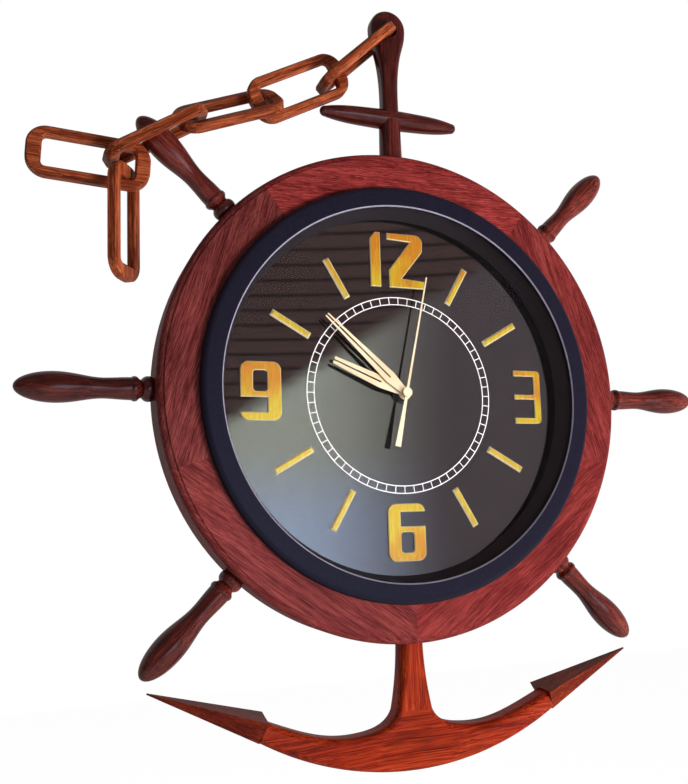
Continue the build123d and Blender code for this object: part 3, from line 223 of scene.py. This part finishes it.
def woodFinish(name, tone, slope, shift):
    # grain along a line that climbs by slope degrees in the plane of the wheel
    made, tree, shader = emptyMaterial(name)
    look = grainLook
    space = turnedSpace(tree, shift, (0, math.radians(slope), 0))
    grain = wanderingSpace(tree, space, tone)
    along, across = tone["along"], tone["across"]

    figure = grainNoise(tree, grain, along, across, 5.0, 0.6)
    wide = look["bandWidth"]
    bands = grainNoise(tree, grain, along / wide, across / wide, 2.0, 0.5)
    figurePart = arithmetic(tree, "MULTIPLY", figure, look["figureShare"])
    bandPart = arithmetic(tree, "MULTIPLY", bands, look["bandShare"])
    streak = arithmetic(tree, "ADD", figurePart, bandPart)
    tints = (tone["dark"], tone["middle"], tone["light"])
    colour = ramp(tree, streak, tuple(zip(look["stops"], tints)))

    fleckAlong, fleckAcross = look["fleckSize"]
    flecks = grainNoise(tree, grain, along * fleckAlong, across * fleckAcross, 1.0, 0.4)
    fleck = ranged(tree, flecks, *look["fleckEdges"], 0.0, tone["flecks"], True)
    colour = blend(tree, fleck, colour, tuple(part * tone["fleckShare"] for part in tone["light"]))

    poreAlong, poreAcross = look["poreSize"]
    pores = grainNoise(tree, grain, along * poreAlong, across * poreAcross, 1.0, 0.4)
    pore = ranged(tree, pores, *look["poreEdges"], 0.0, tone["pores"], True)
    colour = blend(tree, pore, colour, tone["pore"])

    clouds = noise(tree, space, tone["cloudScale"], 3.0, 0.55)
    cloud = ranged(tree, clouds, *look["cloudEdges"], tone["cloudLow"], tone["cloudHigh"])
    grey = addNode(tree, "ShaderNodeCombineColor")
    for channel in ("Red", "Green", "Blue"):
        wire(tree, cloud, grey.inputs[channel])
    colour = blend(tree, 1.0, colour, grey.outputs["Color"], "MULTIPLY")
    wire(tree, colour, shader.inputs["Base Color"])

    dull, shiny = tone["rough"] + look["duller"], tone["rough"] - look["shinier"]
    wire(tree, ranged(tree, figure, *look["glossEdges"], dull, shiny), shader.inputs["Roughness"])
    shader.inputs["Specular IOR Level"].default_value = tone["specular"]
    shader.inputs["Coat Weight"].default_value = tone["varnish"]
    shader.inputs["Coat Roughness"].default_value = tone["varnishRough"]
    poreHole = arithmetic(tree, "MULTIPLY", pore, look["poreDepth"])
    bump(tree, shader, arithmetic(tree, "SUBTRACT", figure, poreHole), tone["relief"], look["height"])
    return made


rimTone = {
    "dark": (0.074, 0.0082, 0.0084),
    "middle": (0.150, 0.0190, 0.0185),
    "light": (0.250, 0.0420, 0.0370),
    "pore": (0.030, 0.0040, 0.0042),
    "pores": 0.70,
    "flecks": 0.45,
    "fleckShare": 1.30,
    "along": 46.0,  # streaks to the metre along the grain, and across it
    "across": 1350.0,
    "wander": 0.006,
    "wanderScale": 11.0,
    "cloudScale": 16.0,
    "cloudLow": 0.80,
    "cloudHigh": 1.18,
    "rough": 0.50,
    "specular": 0.0,
    "varnish": 0.12,
    "varnishRough": 0.28,
    "relief": 0.35,
}
handleTone = dict(
    rimTone,
    dark=(0.042, 0.0050, 0.0040),
    middle=(0.105, 0.0130, 0.0100),
    light=(0.220, 0.0360, 0.0240),
    pore=(0.020, 0.0030, 0.0026),
    flecks=0.20,
    along=34.0,
    across=700.0,
    rough=0.42,
    varnish=0.44,
    varnishRough=0.16,
    relief=0.08,
)
chainTone = dict(
    rimTone,
    dark=(0.084, 0.0128, 0.0046),
    middle=(0.262, 0.0470, 0.0155),
    light=(0.530, 0.1300, 0.0480),
    pore=(0.040, 0.0065, 0.0030),
    along=36.0,
    across=900.0,
    rough=0.46,
    varnish=0.22,
    relief=0.30,
)
anchorTone = dict(
    rimTone,
    dark=(0.095, 0.0052, 0.0018),
    middle=(0.255, 0.0160, 0.0036),
    light=(0.440, 0.0440, 0.0100),
    pore=(0.045, 0.0032, 0.0014),
    flecks=0.30,
    along=14.0,
    across=950.0,
    rough=0.40,
    varnish=0.20,
    varnishRough=0.24,
    relief=0.22,
)
shankTone = dict(
    handleTone,
    dark=(0.020, 0.0026, 0.0020),
    middle=(0.052, 0.0066, 0.0050),
    light=(0.105, 0.0160, 0.0115),
)


def brighter(tone, share, warm=1.0):
    # every tint times share, and its red times warm as well
    made = dict(tone)
    for key in ("dark", "middle", "light"):
        red, green, blue = tone[key]
        made[key] = (red * share * warm, green * share, blue * share)
    return made


# Felloes: clockwise place of the middle in degrees, then the looks of each board
felloeBoards = {
    "rim_felloe_1": {"middle": 0.0, "bright": 1.46, "warm": 1.12, "pores": 0.90, "flecks": 0.60},
    "rim_felloe_2": {"middle": 72.0, "bright": 1.34, "warm": 1.00, "pores": 0.70, "flecks": 0.45},
    "rim_felloe_3": {"middle": 144.0, "bright": 1.28, "warm": 1.08, "pores": 0.55, "flecks": 0.35},
    "rim_felloe_4": {"middle": 216.0, "bright": 1.55, "warm": 0.84, "pores": 0.50, "flecks": 0.30},
    "rim_felloe_5": {"middle": 288.0, "bright": 1.42, "warm": 0.74, "pores": 0.75, "flecks": 0.50},
}
for index, (name, board) in enumerate(felloeBoards.items()):
    tone = brighter(rimTone, board["bright"], board["warm"])
    tone.update(pores=board["pores"], flecks=board["flecks"])
    shift = (0.13 * index, 0.0, 0.07 * index)  # each board is cut from another place
    dress(name, woodFinish("rim_board_" + str(index + 1), tone, -board["middle"], shift))

# Handles: slope of the grain in degrees, then a brightness share that is painted shade and light: the left
# handles darker, the upper right one lighter
handleSlopesAndPaintedShade = {
    "handle_upper_left": (135.0, 1.0),
    "handle_left": (180.0, 0.56),
    "handle_lower_left": (225.0, 0.88),
    "handle_lower_right": (315.0, 1.0),
    "handle_right": (0.0, 1.0),
    "handle_upper_right": (45.0, 1.2),
}
# the brightness share paints shade and light into each handle's colour
for index, (name, (slope, bright)) in enumerate(handleSlopesAndPaintedShade.items()):
    shift = (0.11 * index, 0.02, 0.05 * index)
    dress(name, woodFinish("turned_" + name, brighter(handleTone, bright), slope, shift))

# Chain: slope of the grain of each link in degrees
linkSlopes = {
    "chain_link_1": 43.5,
    "chain_link_2": 28.0,
    "chain_link_3": 20.0,
    "chain_link_4": 32.0,
    "chain_link_5": -3.5,
    "chain_link_6": 90.0,
}
for index, (name, slope) in enumerate(linkSlopes.items()):
    shift = (0.09 * index, 0.04, 0.06 * index)
    dress(name, woodFinish("carved_" + name, chainTone, slope, shift))

# Anchor: wood, slope of the grain in degrees, place the board is cut from
anchorBoards = {
    "anchor_arms": ("anchor_arm_wood", anchorTone, 2.0, (0.0, 0.0, 0.03)),
    "fluke_left": ("fluke_left_wood", brighter(anchorTone, 0.50, 0.92), -24.0, (0.2, 0.0, 0.0)),
    "fluke_right": ("fluke_right_wood", brighter(anchorTone, 0.75, 0.80), 24.0, (0.4, 0.0, 0.0)),
    "anchor_stem": ("anchor_stem_wood", brighter(anchorTone, 1.50, 0.84), 90.0, (0.1, 0.0, 0.2)),
    "shank_post": ("shank_post_wood", brighter(shankTone, 2.0), 90.0, (0.3, 0.0, 0.1)),
    "anchor_shank": ("anchor_shank_wood", shankTone, 88.0, (0.5, 0.0, 0.1)),
    "anchor_stock": ("anchor_stock_wood", brighter(shankTone, 1.2), 0.0, (0.7, 0.0, 0.1)),
}
for name, board in anchorBoards.items():
    dress(name, woodFinish(*board))
dowelWood = woodFinish("dowel_wood", brighter(chainTone, 1.3), 0.0, (0.0, 0.3, 0.0))
dress("felloe_dowels", dowelWood)
dress("anchor_dowels", dowelWood)
print("wood dressed")

# Plastics and metals
speckleLook = {"stops": (0.35, 0.65), "edges": (0.3, 0.7), "rough": (0.85, 1.15), "height": 0.0002}


def speckled(name, spec):
    # moulded or metal surface: fine noise moves its colour, its roughness and its height a little
    made, tree, shader = emptyMaterial(name)
    space = stretched(tree, turnedSpace(tree), spec.get("stretch", (1, 1, 1)))
    grain = noise(tree, space, spec["scale"], 3.0, 0.6)
    low = tuple(part * (1 - spec["spread"]) for part in spec["colour"])
    high = tuple(min(1.0, part * (1 + spec["spread"])) for part in spec["colour"])
    colour = ramp(tree, grain, tuple(zip(speckleLook["stops"], (low, high))))
    wire(tree, colour, shader.inputs["Base Color"])
    least, most = (spec["rough"] * share for share in speckleLook["rough"])
    gloss = ranged(tree, grain, *speckleLook["edges"], least, most)
    wire(tree, gloss, shader.inputs["Roughness"])
    shader.inputs["Metallic"].default_value = spec.get("metal", 0.0)
    shader.inputs["Specular IOR Level"].default_value = spec.get("specular", 0.5)
    bump(tree, shader, grain, spec["relief"], speckleLook["height"])
    return made


bezelBlack = {
    "colour": (0.0124, 0.0115, 0.0235),
    "scale": 900.0,
    "spread": 0.18,
    "rough": 0.34,
    "relief": 0.08,
    "specular": 0.07,
}
ringBlack = {
    "colour": (0.024, 0.021, 0.024),
    "scale": 700.0,
    "spread": 0.2,
    "rough": 0.45,
    "relief": 0.06,
    "specular": 0.0,
}
dialBlack = {
    "colour": (0.0045, 0.0042, 0.0042),
    "scale": 90.0,
    "spread": 0.08,
    "rough": 0.02,
    "relief": 0.0,
    "specular": 0.88,
}
retainerGrey = {"colour": (0.05, 0.05, 0.055), "scale": 600.0, "spread": 0.15, "rough": 0.5, "relief": 0.1}
caseBlack = {"colour": (0.016, 0.016, 0.017), "scale": 1200.0, "spread": 0.2, "rough": 0.5, "relief": 0.15}
steel = {
    "colour": (0.56, 0.57, 0.58),
    "scale": 400.0,
    "stretch": (1, 1, 8),
    "spread": 0.12,
    "rough": 0.32,
    "relief": 0.08,
    "metal": 1.0,
}
brass = {
    "colour": (0.80, 0.56, 0.22),
    "scale": 500.0,
    "spread": 0.1,
    "rough": 0.26,
    "relief": 0.05,
    "metal": 1.0,
}
whiteNylon = {"colour": (0.72, 0.71, 0.66), "scale": 500.0, "spread": 0.05, "rough": 0.4, "relief": 0.05}
copper = {
    "colour": (0.72, 0.30, 0.14),
    "scale": 60.0,
    "stretch": (1, 1, 60),
    "spread": 0.25,
    "rough": 0.3,
    "relief": 0.4,
    "metal": 0.9,
}
boardGreen = {"colour": (0.015, 0.10, 0.035), "scale": 500.0, "spread": 0.2, "rough": 0.35, "relief": 0.1}
batterySleeve = {"colour": (0.10, 0.105, 0.115), "scale": 90.0, "spread": 0.08, "rough": 0.3, "relief": 0.03}

bezelFinish = speckled("bezel_black", bezelBlack)
caseNodes = ("movement_case", "movement_cover", "setting_knob", "bushing_nut", "dial_washer")
steelNodes = (
    "retaining_clips",
    "clip_screws",
    "hanger_plate",
    "hanger_screws",
    "cover_screws",
    "battery_contacts",
    "stator",
)
wheelNodes = (
    "intermediate_wheel",
    "seconds_wheel",
    "third_wheel",
    "centre_wheel",
    "minute_wheel",
    "hour_wheel",
    "rotor",
)
wornBy = (
    (bezelFinish, ("bezel",)),
    (speckled("chapter_black", ringBlack), ("chapter_ring",)),
    (speckled("dial_black", dialBlack), ("dial_plate",)),
    (speckled("retainer_grey", retainerGrey), ("dial_retainer",)),
    (speckled("case_black", caseBlack), caseNodes),
    (speckled("bright_steel", steel), steelNodes),
    (speckled("brass", brass), ("setting_arbor",)),
    (speckled("white_nylon", whiteNylon), wheelNodes),
    (speckled("copper_wire", copper), ("coil",)),
    (speckled("board_green", boardGreen), ("circuit_board",)),
    (speckled("battery_sleeve", batterySleeve), ("battery",)),
)
for finish, names in wornBy:
    for name in names:
        dress(name, finish)

# Gilt numerals and batons, champagne hands
giltNumber = {
    "orange": (0.48, 0.185, 0.004),
    "yellow": (0.53, 0.41, 0.010),
    # pale painted highlight on the numerals' faces that lean away from the front
    "chamferHighlightAndShade": (0.70, 0.60, 0.33),
    # the orange and yellow bands by height are a painted reflection of the room
    "paintedReflectionBands": ("orange", "yellow", "yellow", "orange", "yellow", "yellow", "orange"),  # from below
    "stops": (0.02, 0.10, 0.46, 0.56, 0.66, 0.80, 0.90),
    "halfHeight": 0.125,  # reach of the colour change above and below the axis
    "drift": 0.05,
    "driftScale": 40.0,
    "shift": (0.3, 0.1, 0.2),
    "brushed": (700, 700, 50),
    "brushedEdges": (0.42, 0.60),
    "brushedShare": 0.28,
    "leaning": (-0.95, -0.85),
    "fine": (400, 400, 60),
    "metal": 0.16,
    "rough": 0.26,
    "relief": 0.04,
    "height": 0.0001,
}
champagne = dict(
    giltNumber,
    orange=(0.86, 0.68, 0.40),
    yellow=(0.96, 0.83, 0.55),
    # darker painted shade on the hands' faces that lean away from the front
    chamferHighlightAndShade=(0.50, 0.38, 0.20),
    rough=0.36,
    metal=0.45,
)


def goldFinish(name, spec):
    # gilt whose colour changes from orange to yellow with height, in bands that paint the room's reflection,
    # with a slow drift
    made, tree, shader = emptyMaterial(name)
    space = turnedSpace(tree, spec["shift"])
    high = splitAxes(tree, turnedSpace(tree))[2]
    reach = spec["halfHeight"]
    climb = ranged(tree, high, -wheelDrop - reach, -wheelDrop + reach)
    drift = noise(tree, space, spec["driftScale"], 1.0, 0.4)
    climb = arithmetic(tree, "ADD", climb, ranged(tree, drift, 0.3, 0.7, -spec["drift"], spec["drift"]))
    # painted reflection: orange or yellow by height on each numeral and hand
    tints = tuple(spec[tint] for tint in spec["paintedReflectionBands"])
    colour = ramp(tree, climb, tuple(zip(spec["stops"], tints)))
    brushed = noise(tree, stretched(tree, space, spec["brushed"]), 1.0, 2.0, 0.5)
    scratch = ranged(tree, brushed, *spec["brushedEdges"], spec["brushedShare"], 0.0)
    colour = blend(tree, scratch, colour, spec["orange"])
    # faces that lean away from the front get a painted highlight on numerals and batons, painted shade on
    # the hands
    facing = addNode(tree, "ShaderNodeTexCoord")
    depth = splitAxes(tree, facing.outputs["Normal"])[1]
    chamferHighlightAndShade = ranged(tree, depth, *spec["leaning"])  # faces that lean away from the front
    wire(tree, blend(tree, chamferHighlightAndShade, colour, spec["chamferHighlightAndShade"]), shader.inputs["Base Color"])
    shader.inputs["Metallic"].default_value = spec["metal"]
    fine = noise(tree, stretched(tree, space, spec["fine"]), 1.0, 2.0, 0.5)
    rough = spec["rough"]
    wire(tree, ranged(tree, fine, 0.3, 0.7, rough * 0.8, rough * 1.2), shader.inputs["Roughness"])
    bump(tree, shader, fine, spec["relief"], spec["height"])
    return made


numberGold = goldFinish("number_gold", giltNumber)
handGold = goldFinish("hand_champagne", champagne)
dress("hour_numerals", numberGold)
dress("hour_batons", numberGold)
for name in ("hour_hand", "minute_hand", "second_hand"):
    dress(name, handGold)

# Glass, with little gloss of its own: the dial behind it mirrors the room
clearGlass, _, glassShader = emptyMaterial("clear_glass")
glassSettings = {
    "Base Color": (1, 1, 1, 1),
    "Roughness": 0.0,
    "IOR": 1.10,
    "Transmission Weight": 1.0,
}
for key, value in glassSettings.items():
    glassShader.inputs[key].default_value = value
dress("crystal", clearGlass)
cadNode["crystal"].visible_shadow = False  # the lamps shine through the glass
print("plastics, metals and glass dressed")

# New pieces
creaseAngle = math.radians(30)


def meshPiece(name, points, faces, material, body):
    mesh = bpy.data.meshes.new(name)
    mesh.from_pydata(points.tolist(), [], faces.tolist())
    mesh.update()
    mesh.shade_smooth()
    mesh.set_sharp_from_angle(angle=creaseAngle)
    mesh.materials.append(material)
    made = bpy.data.objects.new(name, mesh)
    bpy.context.scene.collection.objects.link(made)
    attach(made, body)
    return made


def lathed(outline, turns):
    # a closed outline of radius and depth, carried round the dial's axis
    # it is given from the inside outwards along its front, so that the faces point outwards
    outline = np.array(outline)
    count = len(outline)
    angle = np.linspace(0, 2 * np.pi, turns, endpoint=False)
    points = np.stack(
        [
            np.outer(np.sin(angle), outline[:, 0]),
            np.tile(outline[:, 1], (turns, 1)),
            np.outer(np.cos(angle), outline[:, 0]) - wheelDrop,
        ],
        axis=-1,
    )
    rows, columns = np.meshgrid(np.arange(turns), np.arange(count), indexing="ij")
    nextRow, nextColumn = (rows + 1) % turns, (columns + 1) % count
    corners = [(rows, columns), (nextRow, columns), (nextRow, nextColumn), (rows, nextColumn)]
    faces = np.stack([row * count + column for row, column in corners], axis=-1)
    return points.reshape(-1, 3), faces.reshape(-1, 4)


# Minute track printed on the dial: two thin rings and sixty short bars
track = {
    "outer": 0.0721,
    "inner": 0.0668,
    "line": 0.00066,
    "bar": 0.00056,
    "lift": 0.00004,
    "barLift": 0.00001,  # the bars stand over the rings by this
    "turns": 240,
    "bars": 60,
}
printWhite = {"colour": (0.93, 0.93, 0.95), "scale": 800.0, "spread": 0.1, "rough": 0.6, "relief": 0.05}


def flatBand(radius, width, back, front, turns):
    # a rectangle of width by thickness carried round a circle in the plane of the dial
    inner, outer = radius - width / 2, radius + width / 2
    return lathed([(inner, front), (outer, front), (outer, back), (inner, back)], turns)


def trackBars(spec, back, front):
    # one thin box for each minute, its long side on the radius
    angle = np.arange(spec["bars"]) * 2 * np.pi / spec["bars"]
    outward = np.stack([np.sin(angle), np.zeros_like(angle), np.cos(angle)], axis=-1)
    sideways = np.stack([np.cos(angle), np.zeros_like(angle), -np.sin(angle)], axis=-1)
    reach = np.array([spec["inner"], spec["outer"], spec["outer"], spec["inner"]] * 2)
    across = np.array([-0.5, -0.5, 0.5, 0.5] * 2) * spec["bar"]
    depth = np.array([front] * 4 + [back] * 4)
    points = outward[:, None, :] * reach[None, :, None]
    points = points + sideways[:, None, :] * across[None, :, None]
    points[:, :, 1] += depth
    points[:, :, 2] -= wheelDrop
    sides = [[0, 1, 2, 3], [7, 6, 5, 4], [0, 4, 5, 1], [1, 5, 6, 2], [2, 6, 7, 3], [3, 7, 4, 0]]
    faces = np.arange(spec["bars"])[:, None, None] * 8 + np.array(sides)[None]
    return points.reshape(-1, 3), faces.reshape(-1, 4)


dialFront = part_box("dial_plate")[0][1]
trackFront = dialFront - track["lift"]
trackSets = [
    flatBand(track["outer"], track["line"], dialFront, trackFront, track["turns"]),
    flatBand(track["inner"], track["line"], dialFront, trackFront, track["turns"]),
    trackBars(track, dialFront, trackFront - track["barLift"]),
]
trackStarts = np.cumsum([0] + [len(points) for points, _ in trackSets])
trackPoints = np.concatenate([points for points, _ in trackSets])
trackFaces = np.concatenate([faces + start for (_, faces), start in zip(trackSets, trackStarts)])
trackFinish = speckled("print_white", printWhite)
meshPiece("minute_track", trackPoints, trackFaces, trackFinish, "frame")
print("minute track printed")

# Bezel with a full round on its outer edge, in the place of the plain one
bezelForm = {
    "outer": 0.1500,
    "lip": 0.1350,
    "wall": 0.1410,
    "bore": 0.1390,
    "lipDepth": 0.0024,
    "lipBevel": 0.0009,
    "round": 0.0042,
    "flange": 0.03405,  # height of the flange's back over the wall plane
    "foot": 0.00305,
    "roundSteps": 12,
    "turns": 360,
}


def bezelOutline(spec, front):
    # lip, flat face, quarter round, flange, then back along the wall that goes through the rim
    swing = np.linspace(0, np.pi / 2, spec["roundSteps"])
    radius = spec["round"]
    reach = spec["outer"] - radius * (1 - np.sin(swing))
    rounded = np.stack([reach, front + radius * (1 - np.cos(swing))], axis=-1)
    inside = [(spec["lip"], front + spec["lipBevel"]), (spec["lip"] + spec["lipBevel"], front)]
    behind = [
        (spec["outer"], -spec["flange"]),
        (spec["wall"], -spec["flange"]),
        (spec["wall"], -spec["foot"]),
        (spec["bore"], -spec["foot"]),
        (spec["bore"], front + spec["lipDepth"]),
        (spec["lip"], front + spec["lipDepth"]),
    ]
    return np.concatenate([inside, rounded, behind])


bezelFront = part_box("bezel")[0][1]
bezelPoints, bezelFaces = lathed(bezelOutline(bezelForm, bezelFront), bezelForm["turns"])
roundedBezel = meshPiece("bezel_rounded", bezelPoints, bezelFaces, bezelFinish, "frame")
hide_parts("bezel")

# Painted highlight along its inner edge: a thin pale strip that leans half way between the front and the
# axis
lipStrip = {"width": 0.00082, "inset": 0.00003, "proud": 0.00002, "sunk": 0.00008}
lipPaintedHighlight = {
    "colour": (0.36, 0.33, 0.43),
    "scale": 300.0,
    "spread": 0.1,
    "rough": 0.3,
    "relief": 0.02,
    "specular": 0.2,
}


def lipOutline(spec, inner, front):
    # the strip's four corners: run goes outwards and forwards on the slope, rise goes into it
    corners = (
        (0.0, -spec["proud"]),
        (spec["width"], -spec["proud"]),
        (spec["width"], spec["sunk"]),
        (0.0, spec["sunk"]),
    )
    return [(inner + run + rise, front + spec["width"] - run + rise) for run, rise in corners]


lipInner, lipFront = bezelForm["lip"] + lipStrip["inset"], bezelFront + lipStrip["inset"]
lipPoints, lipFaces = lathed(lipOutline(lipStrip, lipInner, lipFront), bezelForm["turns"])
# the strip's pale colour on the black bezel is a painted highlight
lipHighlightPaint = speckled("lip_painted_highlight", lipPaintedHighlight)
meshPiece("bezel_lip_bevel", lipPoints, lipFaces, lipHighlightPaint, "frame")
print("bezel turned")

# Camera where the photo was taken from: metres, degrees, and pixels of the picture
view = {
    "place": (-0.255357, -0.597440, -0.254935),
    "yaw": 20.803,
    "pitch": 6.232,
    "roll": -1.827,
    "focal": 870.648,
    "centre": (355.633, 427.518),
    "picture": (688, 784),
    "sensor": 36.0,
    "nearest": 0.01,
}


def standCamera(spec):
    # ahead from yaw and pitch, then right and above turned about it by roll
    yaw, pitch, roll = (math.radians(spec[key]) for key in ("yaw", "pitch", "roll"))
    level = math.cos(pitch)
    ahead = Vector((math.sin(yaw) * level, math.cos(yaw) * level, math.sin(pitch)))
    right = Vector((math.cos(yaw), -math.sin(yaw), 0))
    above = right.cross(ahead)
    rolledRight = right * math.cos(roll) + above * math.sin(roll)
    rolledUp = above * math.cos(roll) - right * math.sin(roll)
    lens = bpy.data.cameras.new("photo_camera")
    width, height = spec["picture"]
    lens.sensor_width = spec["sensor"]
    lens.lens = spec["focal"] * spec["sensor"] / height
    lens.shift_x = -(spec["centre"][0] - width / 2) / height
    lens.shift_y = (spec["centre"][1] - height / 2) / height
    lens.clip_start = spec["nearest"]
    lens.dof.use_dof = False
    made = bpy.data.objects.new("photo_camera", lens)
    turn = Matrix((rolledRight, rolledUp, -ahead)).transposed().to_4x4()
    made.matrix_world = Matrix.Translation(spec["place"]) @ turn
    bpy.context.scene.collection.objects.link(made)
    bpy.context.scene.camera = made


standCamera(view)

# Soft round lamps, all turned towards the middle of the wheel
lamps = {
    "key_lamp": {
        "place": (1.05, -1.15, -0.72),
        "size": 0.7,
        "watts": 37.0,
        "colour": (1.0, 0.98, 0.97),
    },
    "fill_lamp": {
        "place": (-1.10, -1.10, 0.90),
        "size": 0.9,
        "watts": 2.6,
        "colour": (1.0, 0.97, 0.93),
    },
    "back_lamp": {
        "place": (-0.20, 0.90, 0.90),
        "size": 0.7,
        "watts": 5.0,
        "colour": (1.0, 1.0, 1.0),
    },
}
lampTarget = Vector((0.0, 0.0, -wheelDrop))
for name, spec in lamps.items():
    lamp = bpy.data.lights.new(name, "AREA")
    lamp.shape = "DISK"
    lamp.size = spec["size"]
    lamp.energy = spec["watts"]
    lamp.color = spec["colour"]
    holder = bpy.data.objects.new(name, lamp)
    holder.location = spec["place"]
    aim = lampTarget - Vector(spec["place"])
    holder.rotation_euler = aim.to_track_quat("-Z", "Y").to_euler()
    holder.visible_glossy = False  # no lamp disc in the glass from other sides
    holder.visible_transmission = False
    bpy.context.scene.collection.objects.link(holder)

# Room round the clock: directions are parts of a unit vector, right, back and up
room = {
    "soft": 0.15,  # light that falls on the piece from all round
    "backdrop": (1.0, 1.0, 1.0),
    "backdropEdge": (-0.05, 0.35),
    "ceiling": (0.58, 0.36, 0.34),  # dim part of the room in front, as polished things mirror it
    "ceilingSlope": 0.62,  # its edge climbs to the right by this
    "ceilingEdge": (0.0, -0.03),
    "slats": 62.0,  # boards of the ceiling for each unit of height
    "slatGap": (0.5, 0.30),
    "slatShade": 0.75,
    "wall": (3.30, 3.50, 3.00),
    "window": (3.40, 4.10, 5.50),
    "windowEdge": (0.10, -0.01),
    "corner": (0.72, 0.58, 0.64),
    "rightCorner": (0.28, 0.46),
    "leftCorner": (0.10, -0.20),
}


def edge(tree, value, limits):
    # 0 before the first limit, 1 past the second, and smooth between
    return ranged(tree, value, *limits, 0.0, 1.0, True)


def mirroredRoom(tree, spec):
    # boarded ceiling over a slanting edge, under it a wall with a window and two dim corners
    coords = addNode(tree, "ShaderNodeTexCoord")
    right, back, high = splitAxes(tree, coords.outputs["Generated"])
    wall = blend(tree, edge(tree, high, spec["windowEdge"]), spec["wall"], spec["window"])
    wall = blend(tree, edge(tree, right, spec["rightCorner"]), wall, spec["corner"])
    wall = blend(tree, edge(tree, right, spec["leftCorner"]), wall, spec["corner"])
    slat = arithmetic(tree, "FRACT", arithmetic(tree, "MULTIPLY", high, spec["slats"]))
    offMiddle = arithmetic(tree, "ABSOLUTE", arithmetic(tree, "SUBTRACT", slat, 0.5))
    gap = ranged(tree, offMiddle, *spec["slatGap"], spec["slatShade"], 0.0, True)
    ceiling = blend(tree, gap, spec["ceiling"], (0.0, 0.0, 0.0))
    climb = arithmetic(tree, "MULTIPLY", right, spec["ceilingSlope"])
    under = edge(tree, arithmetic(tree, "SUBTRACT", high, climb), spec["ceilingEdge"])
    front = blend(tree, under, ceiling, wall)
    return blend(tree, edge(tree, back, spec["backdropEdge"]), front, spec["backdrop"])


def paleRoom(spec):
    # white backdrop to the eye; polished things mirror it too, and a dimmer room on the front side
    world = bpy.data.worlds.new("pale_room")
    bpy.context.scene.world = world
    world.use_nodes = True
    tree = world.node_tree
    tree.nodes.clear()
    output = addNode(tree, "ShaderNodeOutputWorld")
    direct, mirrored = lookedAt(tree)
    seen = blend(tree, mirrored, spec["backdrop"], mirroredRoom(tree, spec))
    soft = addNode(tree, "ShaderNodeBackground")
    soft.inputs["Color"].default_value = (1, 1, 1, 1)
    soft.inputs["Strength"].default_value = spec["soft"]
    shown = addNode(tree, "ShaderNodeBackground")
    wire(tree, seen, shown.inputs["Color"])
    shown.inputs["Strength"].default_value = 1.0
    mix = addNode(tree, "ShaderNodeMixShader")
    wire(tree, direct, mix.inputs["Fac"])
    wire(tree, soft.outputs["Background"], mix.inputs[1])
    wire(tree, shown.outputs["Background"], mix.inputs[2])
    wire(tree, mix.outputs["Shader"], output.inputs["Surface"])


paleRoom(room)

# Pale floor well under the anchor
floorSpec = {
    "drop": 0.50,
    "half": 3.0,
    "paint": (0.9, 0.9, 0.9, 1),
    "white": 1.17,
    "whiteShare": 0.82,  # the rest of the floor's look takes the shadow
}


def floorPaint(spec):
    made = bpy.data.materials.new("pale_floor")
    made.use_nodes = True
    tree = made.node_tree
    tree.nodes.clear()
    output = addNode(tree, "ShaderNodeOutputMaterial")
    seen, _ = lookedAt(tree)
    matte = addNode(tree, "ShaderNodeBsdfDiffuse")
    matte.inputs["Color"].default_value = spec["paint"]
    white = addNode(tree, "ShaderNodeEmission")
    white.inputs["Strength"].default_value = spec["white"]
    mix = addNode(tree, "ShaderNodeMixShader")
    wire(tree, arithmetic(tree, "MULTIPLY", seen, spec["whiteShare"]), mix.inputs["Fac"])
    wire(tree, matte.outputs["BSDF"], mix.inputs[1])
    wire(tree, white.outputs["Emission"], mix.inputs[2])
    wire(tree, mix.outputs["Shader"], output.inputs["Surface"])
    return made


floorLevel = cadBox[0][2] - floorSpec["drop"]
half = floorSpec["half"]
floorCorners = [(-half, -half), (half, -half), (half, half), (-half, half)]
floorMesh = bpy.data.meshes.new("pale_floor")
floorMesh.from_pydata([(*corner, floorLevel) for corner in floorCorners], [], [(0, 1, 2, 3)])
floorMesh.update()
floorMesh.materials.append(floorPaint(floorSpec))
floor = bpy.data.objects.new("pale_floor", floorMesh)
bpy.context.scene.collection.objects.link(floor)

bpy.context.scene.view_settings.view_transform = "Standard"
print("camera, lamps and floor set")
